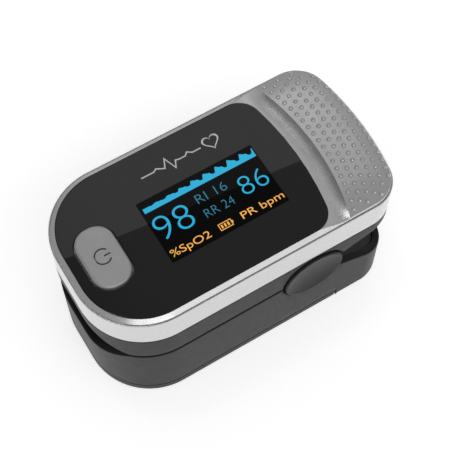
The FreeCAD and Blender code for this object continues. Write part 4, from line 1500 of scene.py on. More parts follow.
@dataclass
class Screws(Assembly):
    """Self-tapping screws with cross recesses that hold one inner cover."""

    body: Body
    node: str
    head_radius: float
    head: float
    places: tuple[Flat, ...]
    thread: float = 0.85
    pitch: float = 0.45
    arm: float = 0.85
    arm_half: float = 0.2

    def cross(self, height: float, shrink: float) -> list[Spot]:
        """Ring of the cross recess at a depth.

        Args:
            height: height of the ring.
            shrink: size against the mouth of the recess.

        Returns:
            The points.
        """
        ring: list[Spot] = []
        a, w = self.arm * shrink, self.arm_half * shrink
        quarter = ((a, 0.0), (a, w), ((a + w) / 2, w), (w, w), (w, (a + w) / 2), (w, a))
        for turn in range(4):
            for x, y in quarter:
                for _ in range(turn):
                    x, y = -y, x
                ring.append((x, y, height))
        return ring

    def build(self) -> None:
        """Make one screw and set it out."""
        low, high = node_box(self.node)
        tall, steps = high.z - low.z, 24

        def circle(radius: float, height: float) -> list[Spot]:
            """Ring of the screw."""
            turns = [2 * math.pi * place / steps for place in range(steps)]
            return [(radius * math.cos(a), radius * math.sin(a), height) for a in turns]

        rings = [circle(0.1, tall), circle(0.4, tall - 0.35)]
        height = tall - 0.5
        while height > self.head + self.pitch:
            rings += [circle(self.thread - 0.22, height), circle(self.thread, height - 0.1)]
            rings.append(circle(self.thread - 0.22, height - 0.2))
            height -= self.pitch
        reach = self.head_radius
        rings += [circle(0.66, self.head), circle(reach - 0.06, self.head)]
        rings += [circle(reach, self.head - 0.08), circle(reach, 0.3)]
        rings += [circle(reach - 0.08, 0.12), circle(reach - 0.3, 0.02), circle(0.95, 0.0)]
        rings += [self.cross(0.0, 1.0), self.cross(0.08, 0.94), self.cross(0.55, 0.55)]
        pattern = Blank("screw_pattern").loft(rings).piece(self.body, "steel", self.shelf, crease=40)
        spots = [(x, y, low.z) for x, y in self.places]
        tree = ScatterTree("screw_set", pattern)
        name = self.node + "_driven"
        tree.scatter(spots, self.body, self.shelf, "steel", [self.node], name)


@dataclass
class ScatterTree:
    """Node tree that sets a copy of a pattern, or a dome, on every point of a mesh.

    pattern is an object to copy; without one the tree makes a dome.
    """

    name: str
    pattern: Piece | None = None
    radius: float = 0.42
    height: float = 0.3
    segments: int = 10
    rings: int = 6
    seed: int = 7
    variation: float = 0.03

    def tree(self, material: bpy.types.Material) -> bpy.types.NodeTree:
        """Build the tree.

        Args:
            material: material that the copies get.

        Returns:
            The tree.
        """
        group = bpy.data.node_groups.new(self.name, "GeometryNodeTree")
        face = group.interface
        face.new_socket("Points", in_out="INPUT", socket_type="NodeSocketGeometry")
        for name, value in (("Radius", self.radius), ("Height", self.height)):
            socket = face.new_socket(name, in_out="INPUT", socket_type="NodeSocketFloat")
            socket.default_value = value * MM
        socket = face.new_socket("Seed", in_out="INPUT", socket_type="NodeSocketInt")
        socket.default_value = self.seed
        face.new_socket("Geometry", in_out="OUTPUT", socket_type="NodeSocketGeometry")
        add = group.nodes.new

        def wire(source: bpy.types.Node, out: str, target: bpy.types.Node, into: str) -> None:
            """Join an output to an input."""
            group.links.new(source.outputs[out], target.inputs[into])

        start, end = add("NodeGroupInput"), add("NodeGroupOutput")
        place = add("GeometryNodeInstanceOnPoints")
        facing = add("GeometryNodeInputNamedAttribute")
        facing.data_type = "FLOAT_VECTOR"
        preset(facing, Name="facing")
        turn = add("FunctionNodeAlignRotationToVector")
        turn.axis = "Z"
        wire(facing, "Attribute", turn, "Vector")
        wire(start, "Points", place, "Points")
        wire(turn, "Rotation", place, "Rotation")
        if self.pattern is None:
            ball = add("GeometryNodeMeshUVSphere")
            preset(ball, Segments=self.segments, Rings=self.rings, Radius=1.0)
            shape = add("ShaderNodeCombineXYZ")
            flat = add("GeometryNodeTransform")
            wire(start, "Radius", shape, "X")
            wire(start, "Radius", shape, "Y")
            wire(start, "Height", shape, "Z")
            wire(shape, "Vector", flat, "Scale")
            wire(ball, "Mesh", flat, "Geometry")
            soft = add("GeometryNodeSetShadeSmooth")
            wire(flat, "Geometry", soft, "Geometry")
            wire(soft, "Geometry", place, "Instance")
            vary = add("FunctionNodeRandomValue")
            vary.data_type = "FLOAT"
            floats = [socket for socket in vary.inputs if socket.type == "VALUE"]
            floats[0].default_value = 1.0 - self.variation
            floats[1].default_value = 1.0 + self.variation
            wire(start, "Seed", vary, "Seed")
            result = next(socket for socket in vary.outputs if socket.type == "VALUE")
            group.links.new(result, place.inputs["Scale"])
        else:
            source = add("GeometryNodeObjectInfo")
            preset(source, Object=self.pattern)
            wire(source, "Geometry", place, "Instance")
        real = add("GeometryNodeRealizeInstances")
        coat = add("GeometryNodeSetMaterial")
        preset(coat, Material=material)
        wire(place, "Instances", real, "Geometry")
        wire(real, "Geometry", coat, "Geometry")
        wire(coat, "Geometry", end, "Geometry")
        return group

    def scatter(
        self, spots: Sequence[Spot], body: Body, shelf: Shelf, finish: str, stands_for: Sequence[str],
        name: str, facings: Sequence[Spot] | None = None,
    ) -> None:
        """Set the copies out and turn them into one plain piece.

        Args:
            spots: points in millimetres.
            body: CAD body that the piece rides on.
            shelf: the finishes.
            finish: name of the finish.
            stands_for: CAD nodes that the piece replaces.
            name: name of the piece.
            facings: direction of each copy, or none for straight up.
        """
        data = bpy.data.meshes.new(name)
        data.from_pydata([tuple(c * MM for c in spot) for spot in spots], [], [])
        facing = data.attributes.new("facing", "FLOAT_VECTOR", "POINT")
        values = facings or [(0.0, 0.0, 1.0)] * len(spots)
        facing.data.foreach_set("vector", [c for value in values for c in value])
        obj = stand(name, data)
        group = self.tree(shelf.made[finish])
        modifier = obj.modifiers.new("set_out", "NODES")
        modifier.node_group = group
        inputs = {s.name: s.identifier for s in group.interface.items_tree if s.in_out == "INPUT"}
        modifier[inputs["Radius"]] = self.radius * MM
        modifier[inputs["Height"]] = self.height * MM
        modifier[inputs["Seed"]] = self.seed
        settle(obj)
        if self.pattern is not None:
            bpy.data.objects.remove(self.pattern)
        dress(obj, body, finish, shelf, stands_for)


@dataclass
class Hinge(Assembly):
    """Dished caps and torsion springs on both sides, and the ribbon that crosses the hinge."""

    cap_round: float = 0.35
    dish: float = 0.62
    coil_radius: float = 2.6
    wire: float = 0.7
    leg: float = 4.0
    turns: float = 3.5

    def build(self) -> None:
        """Make every piece."""
        for side, name in ((Side.BACK, "back"), (Side.FRONT, "front")):
            self.cap(side, name)
            self.spring(name)
        self.ribbon()

    def cap(self, side: Side, name: str) -> None:
        """Round cap with a thin rim and a shallow dish.

        Args:
            side: side of the clip.
            name: back or front.
        """
        low, high = node_box("hinge_cap_" + name)
        radius, thick = (high.z - low.z) / 2, high.y - low.y
        start = low.y if side is Side.BACK else high.y
        ease = self.cap_round
        profile = [(0.0, 0.0), (radius - 0.1, 0.0), (radius, 0.1)]
        for turn in spread(0.0, math.pi / 2, 5):
            profile.append(
                (radius - ease * (1 - math.cos(turn)), thick - ease * (1 - math.sin(turn)))
            )
        rim = radius - ease - 0.12
        profile.append((rim, thick))
        for share in (0.985, 0.96, 0.92, 0.86, 0.78, 0.66, 0.5, 0.34, 0.18, 0.06, 0.0):
            profile.append((rim * share, thick - self.dish * (1 - share**2.2)))
        axis_x, axis_z = self.plan.hinge
        blank = Blank("cap_" + name)
        blank.turned(profile, (axis_x, start, axis_z), (0, side.value, 0), 96)
        node = "hinge_cap_" + name
        blank.piece(Body.LOWER, "case", self.shelf, [node], crease=45)

    def tube(self, name: str, points: Sequence[Spot]) -> Blank:
        """Round wire along a line of points.

        Args:
            name: name of the blank.
            points: the line.

        Returns:
            The blank.
        """
        blank = Blank(name)
        line = [Vector(point) for point in points]
        rings: list[list[Spot]] = []
        side = Vector((0.0, 1.0, 0.0))
        for place, point in enumerate(line):
            ahead = line[min(place + 1, len(line) - 1)] - line[max(place - 1, 0)]
            ahead.normalize()
            side = (side - ahead * side.dot(ahead)).normalized()
            third = ahead.cross(side)
            ends = {0: 0.35, 1: 0.85, len(line) - 2: 0.85, len(line) - 1: 0.35}
            reach = self.wire / 2 * ends.get(place, 1.0)
            ring = []
            for turn in range(12):
                angle = 2 * math.pi * turn / 12
                ring.append(tuple(point + side * reach * math.cos(angle) + third * reach * math.sin(angle)))
            rings.append(ring)
        return blank.loft(rings)

    def spring(self, name: str) -> None:
        """Torsion spring: the winding with its lower leg, and the upper leg on the upper half.

        Args:
            name: back or front.
        """
        low, high = node_box("torsion_spring_" + name)
        axis_x, axis_z = self.plan.hinge
        radius, wire = self.coil_radius, self.wire
        near, far = low.y + wire / 2, high.y - wire / 2
        steps = round(self.turns * 28)
        ahead = (0.0, 0.12, 0.3)
        points = [(axis_x + self.leg - gap, near, axis_z - radius) for gap in ahead]
        points += [(axis_x + self.leg * s, near, axis_z - radius) for s in (0.6, 0.3, 0.1)]
        for step in range(steps + 1):
            angle = -math.pi / 2 - 2 * math.pi * self.turns * step / steps
            y = near + (far - near) * step / steps
            points.append((axis_x + radius * math.cos(angle), y, axis_z + radius * math.sin(angle)))
        end = points[-1]
        points += [(end[0] + 0.1, far, end[2]), (end[0] + 0.2, far, end[2])]
        node = "torsion_spring_" + name
        coil = self.tube("spring_winding_" + name, points)
        coil.piece(Body.LOWER, "steel", self.shelf, [node], crease=60)
        places = (0.0, 0.12, 0.5, 1.5, 2.5, 3.7, 3.88, 4.0)
        upper = [(axis_x + place, far, axis_z + radius) for place in places]
        arm = self.tube("spring_arm_" + name, upper)
        arm.piece(Body.UPPER, "steel", self.shelf, [node], crease=60)

    def ribbon(self) -> None:
        """Flat ribbon cable, shaped with one bend, that runs between the halves."""
        low, high = node_box("flex_cable")
        thick, bend = 0.15, 1.0
        out = high.x
        start_x, floor, top = low.x, low.z, high.z
        path = [(x, floor + thick / 2) for x in spread(start_x, out - bend - thick / 2, 14)]
        centre = (out - bend - thick / 2, floor + thick / 2 + bend)
        for turn in spread(-math.pi / 2, 0.0, 8)[1:]:
            path.append((centre[0] + bend * math.cos(turn), centre[1] + bend * math.sin(turn)))
        path += [(out - thick / 2, z) for z in spread(centre[1], top, 26)[1:]]
        rings = []
        for place, (x, z) in enumerate(path):
            before, after = path[max(place - 1, 0)], path[min(place + 1, len(path) - 1)]
            length = math.dist(before, after)
            nx, nz = -(after[1] - before[1]) / length, (after[0] - before[0]) / length
            across = spread(low.y, high.y, 6)
            face = [(x + nx * thick / 2, y, z + nz * thick / 2) for y in across]
            back = [(x - nx * thick / 2, y, z - nz * thick / 2) for y in reversed(across)]
            rings.append(face + back)
        obj = Blank("flex_ribbon").loft(rings).piece(
            Body.LOWER, "flex", self.shelf, ["flex_cable"], crease=40
        )
        obj.parent = None
        del obj["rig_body"]
        x = out * MM
        axis_z = self.plan.hinge[1] * MM
        low_end, high_end = (x, 0, axis_z - 4 * MM), (x, 0, axis_z + 4 * MM)
        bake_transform(obj)
        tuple(low_end)
        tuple(high_end)


@dataclass
class UpperHalf(Assembly):
    """Skirt, silver band, liner and pad of the upper half, and the parts inside it."""

    knuckle: Flat = (11.7, 13.1)
    knuckle_radius: float = 4.6
    band_wall: float = 1.2
    lip: float = 0.215
    lip_depth: float = 0.5

    def build(self) -> None:
        """Make every piece."""
        self.skirt()
        self.band()
        FingerPad(self.shelf, self.plan, Body.UPPER, 1, 2.0, "upper_finger_pad").build()
        places = tuple((23.5, side.value * 7.5) for side in Side)
        Screws(self.shelf, self.plan, Body.UPPER, "upper_screws", 1.7, 1.1, places).build()
        self.carry("liner", "upper_inner_cover", "display_holder")
        self.carry("board", "main_board", "emitter_board")
        self.carry("chip", "main_chips", "tact_switch")
        self.carry("window", "oled_display")
        self.carry("pad", "display_gasket")
        self.carry("led", "emitter_leds")

    def skirt(self) -> None:
        """Dark skirt under the band, and the knuckles that turn on the pins."""
        plan, blank = self.plan, Blank("upper_skirt")
        outline = plan.outline()
        top = node_box("side_band")[0].z - 0.1
        stops = wall_stops(plan, outline)
        bottom = lambda x, y: plan.edge(x, y, 1)
        ease = lambda x, y: 0.3
        Wall(outline, bottom, lambda x, y: top, plan.wall, ease, 0.1).build(blank, stops)
        collar = [outline.ring(stops, 1.32, top - 1.0), outline.ring(stops, 1.32, top + 2.1)]
        collar += [outline.ring(stops, 1.88, top + 2.1), outline.ring(stops, 1.88, top - 1.0)]
        blank.loft(collar, loop=True)
        axis_x, axis_z = plan.hinge
        for side in Side:
            start, end = (side.value * place for place in self.knuckle)
            disc = LowerHalf.disc(self.knuckle_radius, self.knuckle[1] - self.knuckle[0])
            blank.turned(disc, (axis_x, start, axis_z), (0, side.value, 0))
            web = ((-4.0, 0.5), (4.0, 0.5), (4.0, top + 2.0 - axis_z), (-4.0, top + 2.0 - axis_z))
            blank.side_slab([(axis_x + x, axis_z + z) for x, z in web], start, end)
            shelf = ((-4.0, 6.9), (4.0, 6.9), (4.0, top + 1.5 - axis_z), (-4.0, top + 1.5 - axis_z))
            near, far = side.value * (self.knuckle[1] - 0.1), side.value * (plan.half - 1.5)
            blank.side_slab([(axis_x + x, axis_z + z) for x, z in shelf], near, far)
        blank.piece(Body.UPPER, "case", self.shelf, ["upper_case"])

    def band(self) -> None:
        """Silver band with softly eased edges."""
        low, high = node_box("side_band")
        outline = self.plan.outline()
        top, lip = high.z + 0.05, self.lip
        stops = outline.stops(2.0, math.radians(3))
        profile = [(0.3, low.z), (0.12, low.z + 0.01), (0.03, low.z + 0.08), (0.0, low.z + 0.22)]
        profile += [(0.0, low.z + 2.0), (0.0, top - 2.0), (0.0, top - 0.14), (0.015, top - 0.06)]
        profile += [(0.06, top - 0.01), (0.11, top), (lip, top), (lip, top - self.lip_depth)]
        wall = self.band_wall
        profile += [(wall, top - self.lip_depth), (wall, top - 2.0), (wall, low.z + 2.0), (wall, low.z)]
        rings = [outline.ring(stops, inset, z) for inset, z in profile]
        blank = Blank("silver_band").loft(rings, loop=True)
        blank.piece(Body.UPPER, "silver", self.shelf, ["side_band"], crease=50)


@dataclass
class TopBezel(Assembly):
    """Silver top: sloped rim round the face plate, scoop, crest and crowned grip with dots."""

    inset: float = 1.2
    seam: float = 0.29
    plate_tail: float = 16.32
    plate_corner: float = 4.4
    plate_bulge: float = 58.0
    crest_x: float = 19.75
    crest_radius: float = 50.0
    scoop_width: float = 4.2
    scoop_curve: float = 2.3
    dip: float = 0.3
    dip_run: tuple[float, float] = (11.5, 15.5)
    rise: float = 0.1
    lip: tuple[float, float] = (0.14, 0.58)
    crown: float = 6.0
    edge: float = 0.1
    dot_rows: int = 6
    dot_pitch: float = 1.63
    dot_first: float = 1.15
    dot_radius: float = 0.45
    dot_height: float = 0.36
    dot_margin: float = 0.85

    def heights(self) -> tuple[float, float, float]:
        """Heights of the band's upper edge, the face plate and the grip."""
        return node_box("side_band")[1].z, node_box("faceplate")[1].z, self.grip_top()

    @staticmethod
    def grip_top() -> float:
        """Height of the grip."""
        return node_box("top_bezel")[1].z

    def plate(self, gap: float = 0.0) -> Outline:
        """Outline of the face plate, drawn a gap smaller.

        Args:
            gap: the gap.

        Returns:
            The outline.
        """
        plan, off = self.plan, self.inset + gap
        nose = (plan.nose - off, plan.half - off, plan.nose_corner - off)
        tail = (self.plate_tail - gap, self.plate_corner - gap, self.plate_bulge - gap)
        return Outline.bowed(*nose, *tail)

    @staticmethod
    def reach(outline: Outline, y: float) -> float:
        """X of the tail side of a bowed outline at a place across it.

        Args:
            outline: the outline.
            y: place across the clip.

        Returns:
            The place along the clip.
        """
        corner, bow = outline.legs[3], outline.legs[4]
        side = abs(y)
        if side <= bow.radius * math.sin(bow.turn[1]):
            return bow.centre[0] + math.sqrt(bow.radius**2 - side**2)
        over = min(max(side + corner.centre[1], 0.0), corner.radius)
        return corner.centre[0] + math.sqrt(corner.radius**2 - over**2)

    def depth(self, outline: Outline, x: float, y: float) -> float:
        """Distance of a point near the tail from the case outline.

        Args:
            outline: the case outline.
            x: place along the clip.
            y: place across the clip.

        Returns:
            The distance.
        """
        corner, bow = outline.legs[3], outline.legs[4]
        side = abs(y)
        off_x, off_y = x - corner.centre[0], side + corner.centre[1]
        flank = self.plan.half - side
        end = bow.radius - math.hypot(x - bow.centre[0], y)
        if off_x > 0 and off_y > 0 and math.atan2(off_y, off_x) > bow.turn[1]:
            return corner.radius - math.hypot(off_x, off_y)
        return min(flank, end)

    def height(self, outline: Outline, x: float, y: float) -> float:
        """Height of the silver surface over a point near the tail."""
        return self.shaped(x, y, self.depth(outline, x, y))

    def shaped(self, x: float, y: float, depth: float) -> float:
        """Height of the silver surface, from the distance to the outline.

        Args:
            x: place along the clip.
            y: place across the clip.
            depth: distance to the case outline.

        Returns:
            The height.
        """
        band, plate, grip_top = self.heights()
        low, inner = band + self.rise, depth - self.seam
        level = plate - self.dip * smooth((x - self.dip_run[0]) / (self.dip_run[1] - self.dip_run[0]))
        rim = min(low + (plate - low) * inner / (self.inset - self.seam), level)
        lip = self.lip[1] * (1.0 - (1.0 - min(inner / self.lip[0], 1.0)) ** 2)
        swell = 1.0 - (1.0 - min(inner / self.crown, 1.0)) ** 2
        grip = low + lip + (grip_top - low - self.lip[1]) * swell
        radius = math.hypot(x - (self.crest_x - self.crest_radius), y)
        round_off = max(self.edge - inner, 0.0)
        fall = self.edge - math.sqrt(max(self.edge**2 - round_off**2, 0.0))
        share = min(max((self.crest_radius - radius) / self.scoop_width, 0.0), 1.0)
        return rim + (grip - rim) * (1.0 - share) ** self.scoop_curve - fall

    def columns(self, outline: Outline, plate: Outline) -> list[float]:
        """Places across the top that follow the corners of the case and of the plate.

        Args:
            outline: outline of the silver top.
            plate: the face plate's outline.

        Returns:
            Sorted places.
        """
        half = self.plan.half
        gaps = [self.seam + step for step in (0.0, 0.01, 0.03, 0.06, 0.1, 0.14, 0.2, 0.3, 0.45, 0.65)]
        found = {round(half - gap, 4) for gap in (*gaps, 1.1, 1.16, self.inset)}
        for shape in (outline, plate):
            corner = shape.legs[3]
            for turn in spread(corner.turn[0], corner.turn[1], 14):
                found.add(round(abs(corner.centre[1] + corner.radius * math.sin(turn)), 4))
        found |= {round(y, 4) for y in spread(0.0, 12.0, 30)}
        keep: list[float] = []
        fixed, rim = round(half - self.inset, 4), round(half - self.seam, 4)
        for y in sorted(found):
            if keep and y - keep[-1] < 0.009:
                if y not in (fixed, rim):
                    continue
                keep.pop()
            keep.append(y)
        return [-y for y in reversed(keep) if y > 0.0] + keep

    def build(self) -> None:
        """Make the top and its dots."""
        outline, plate = self.plan.outline(), self.plate()
        blank = Blank("silver_top")
        columns = self.columns(self.plan.outline(self.seam), plate)
        self.patch(blank, outline, plate, columns)
        self.rim(blank, outline, plate, columns)
        bmesh.ops.remove_doubles(blank.mesh, verts=blank.mesh.verts, dist=1e-4)
        bmesh.ops.recalc_face_normals(blank.mesh, faces=blank.mesh.faces)
        floor = node_box("side_band")[1].z - 0.44
        blank.thicken(lambda point: Vector((point.x, point.y, floor)))
        blank.piece(Body.UPPER, "silver", self.shelf, ["top_bezel"], crease=9)
        self.dots(outline)

    def patch(self, blank: Blank, outline: Outline, plate: Outline, columns: Sequence[float]) -> None:
        """Surface from the plate's rear edge over scoop, crest and grip to the tail.

        Args:
            blank: the mesh to add to.
            outline: the case outline.
            plate: the face plate's outline.
            columns: places across the top.
        """
        scoop = [0.0, 0.015, 0.03, 0.08, 0.15, 0.25, 0.35, 0.45, 0.55, 0.65, 0.74, 0.82, 0.89, 0.94]
        scoop += [0.975, 0.99]
        grip = [0.0, 0.012, 0.03, 0.06, 0.1, 0.16, 0.23, 0.3, 0.38, 0.46, 0.54, 0.62, 0.7, 0.77, 0.83]
        grip += [0.88, 0.92, 0.95, 0.97, 0.983, 0.991, 0.996, 1.0]
        half_plate = self.plan.half - self.inset
        start_x = plate.legs[3].centre[0]
        skin = self.plan.outline(self.seam)
        rows = []
        for y in columns:
            begin = start_x if abs(y) >= half_plate - 1e-6 else self.reach(plate, y)
            crest = self.crest_x - self.crest_radius + math.sqrt(self.crest_radius**2 - y * y)
            end = self.reach(skin, y)
            places = [begin + (crest - begin) * share for share in scoop]
            places += [crest + (end - crest) * share for share in grip]
            row = []
            for x in places:
                row.append(blank.mesh.verts.new((x, y, self.height(outline, x, y))))
            rows.append(row)
        blank.grid(rows)

    def rim(self, blank: Blank, outline: Outline, plate: Outline, columns: Sequence[float]) -> None:
        """Sloped rim from one end of the patch round the nose to the other.

        Args:
            blank: the mesh to add to.
            outline: the case outline.
            plate: the face plate's outline.
            columns: places across the top.
        """
        half = self.plan.half
        insets = sorted(half - y for y in columns if y >= half - self.inset - 1e-6)
        lengths = [leg.length for leg in outline.legs]
        start_x = plate.legs[3].centre[0]
        front = sum(lengths[:2]) + start_x - outline.legs[2].start[0]
        back = sum(lengths[:6]) + outline.legs[6].start[0] - start_x - outline.length
        stops = [stop for stop in outline.stops(2.0, math.radians(3)) if stop < front - 0.2]
        wrapped = [stop - outline.length for stop in outline.stops(2.0, math.radians(3))]
        stops = [stop for stop in wrapped if stop > back + 0.2] + stops
        places = [back, *sorted(set(stops)), front]
        rings = []
        for stop in places:
            ring = []
            for inset in insets:
                x, y = outline.at(stop, inset)
                ring.append(blank.mesh.verts.new((x, y, self.shaped(x, y, inset))))
            rings.append(ring)
        blank.grid(rings)

    def dots(self, outline: Outline) -> None:
        """Rows of small domes over the grip, set out by a node tree.

        Args:
            outline: the case outline.
        """
        spots: list[Spot] = []
        facings: list[Spot] = []
        last = self.plan.tail - self.dot_margin
        for row in range(self.dot_rows):
            share = row / (self.dot_rows - 1)
            for place in range(-12, 13):
                y = (place + (0.5 if row % 2 else 0.0)) * self.dot_pitch
                if abs(y) > self.plan.half - self.dot_margin - 0.2:
                    continue
                bow = self.crest_x - self.crest_radius
                first = bow + self.dot_first + math.sqrt(self.crest_radius**2 - y * y)
                apex = self.crest_x + self.dot_first
                end = self.reach(outline, y) - (self.plan.tail - last)
                x = first + (end - first) * share
                if abs(y) > 9.0:
                    x = min(x, first + (last - apex) * share)
                depth = self.depth(outline, x, y)
                if depth < self.dot_margin - 0.1:
                    continue
                step = 0.05
                z = self.height(outline, x, y)
                rise_x = (self.height(outline, x + step, y) - self.height(outline, x - step, y)) / (2 * step)
                rise_y = (self.height(outline, x, y + step) - self.height(outline, x, y - step)) / (2 * step)
                facing = Vector((-rise_x, -rise_y, 1.0)).normalized()
                sunk = Vector((x, y, z)) - facing * 0.02
                spots.append(tuple(sunk))
                facings.append(tuple(facing))
        tree = ScatterTree("grip_dots", None, self.dot_radius, self.dot_height)
        tree.scatter(spots, Body.UPPER, self.shelf, "silver", [], "grip_dots", facings)


@dataclass
class PowerButton(Assembly):
    """Silver grey button with a shallow dish, its printed symbol and the plunger under it."""

    corner: float = 3.3
    flange: float = 0.35
    ease: float = 0.4
    dish: float = 0.1
    ring: float = 1.45
    stroke: float = 0.27

    def build(self) -> None:
        """Make every piece."""
        low, high = node_box("power_button")
        x0, x1 = low.x + self.flange, high.x - self.flange
        y0, y1 = low.y + self.flange, high.y - self.flange
        outline = Outline.block((x0, y0), (x1, y1), self.corner)
        stops = outline.stops(0.8, math.radians(6))
        self.centre = ((x0 + x1) / 2, (y0 + y1) / 2)
        rings = [outline.ring(stops, -self.flange, low.z), outline.ring(stops, -self.flange, low.z + 0.9)]
        rings += [outline.ring(stops, 0.0, low.z + 0.9), outline.ring(stops, 0.0, high.z - 1.0)]
        for turn in spread(0.0, math.pi / 2, 6):
            inset = self.ease * (1 - math.cos(turn))
            rings.append(outline.ring(stops, inset, high.z - self.ease * (1 - math.sin(turn))))
        for inset in (0.5, 0.65, 0.85, 1.1, 1.4, 1.8, 2.2, 2.6, 3.0):
            rings.append(outline.ring(stops, inset, self.top(high.z, inset)))
        for share in (0.75, 0.5, 0.25):
            flat = [(self.centre[0] + (x - self.centre[0]) * share, y, z) for x, y, z in rings[-1]]
            rings.append(flat)
        blank = Blank("power_button_cap").loft(rings)
        blank.piece(Body.BUTTON, "button", self.shelf, ["power_button"], crease=50)
        self.symbol(high.z - self.dish)
        self.carry("chip", "switch_plunger")

    def top(self, height: float, inset: float) -> float:
        """Height of the dished face at an inset."""
        return height - self.dish * smooth((inset - self.ease) / 2.2)

    def symbol(self, height: float) -> None:
        """Printed power symbol: an open ring and a bar.

        Args:
            height: height of the face in the middle of the dish.
        """
        cx, cy = self.centre
        gap = math.radians(38)
        turns = spread(gap, 2 * math.pi - gap, 48)
        outer, inner = self.ring + self.stroke / 2, self.ring - self.stroke / 2
        loop = [(cx + outer * math.cos(a), cy + outer * math.sin(a)) for a in turns]
        loop += [(cx + inner * math.cos(a), cy + inner * math.sin(a)) for a in reversed(turns)]
        low, high = height - 0.02, height + 0.012
        blank = Blank("power_symbol").slab([loop], low, high)
        half = self.stroke / 2
        bar = Outline.block((cx + 0.2, cy - half), (cx + 1.9, cy + half), half * 0.95)
        blank.slab([[bar.at(stop) for stop in bar.stops(0.5, math.radians(20))]], low, high)
        blank.piece(Body.BUTTON, "symbol", self.shelf)


class Glyphs(Enum):
    """Text of the display, with the box it fills round the display's centre, finish and thinning."""

    OXYGEN = ("98", (-11.2, -2.2), (-4.25, 2.6), "blue", 0.019)
    PULSE = ("86", (5.6, -1.85), (10.95, 1.85), "blue", 0.018)
    UPPER = ("RI 16", (-2.2, 0.95), (3.8, 2.75), "small_blue", 0.014)
    LOWER = ("RR 24", (-2.25, -2.2), (3.5, -0.45), "small_blue", 0.014)
    OXYGEN_UNIT = ("%SpO2", (-11.2, -6.1), (-3.4, -4.2), "orange", 0.0)
    PULSE_UNIT = ("PR bpm", (2.95, -6.05), (11.4, -4.15), "orange", 0.0)


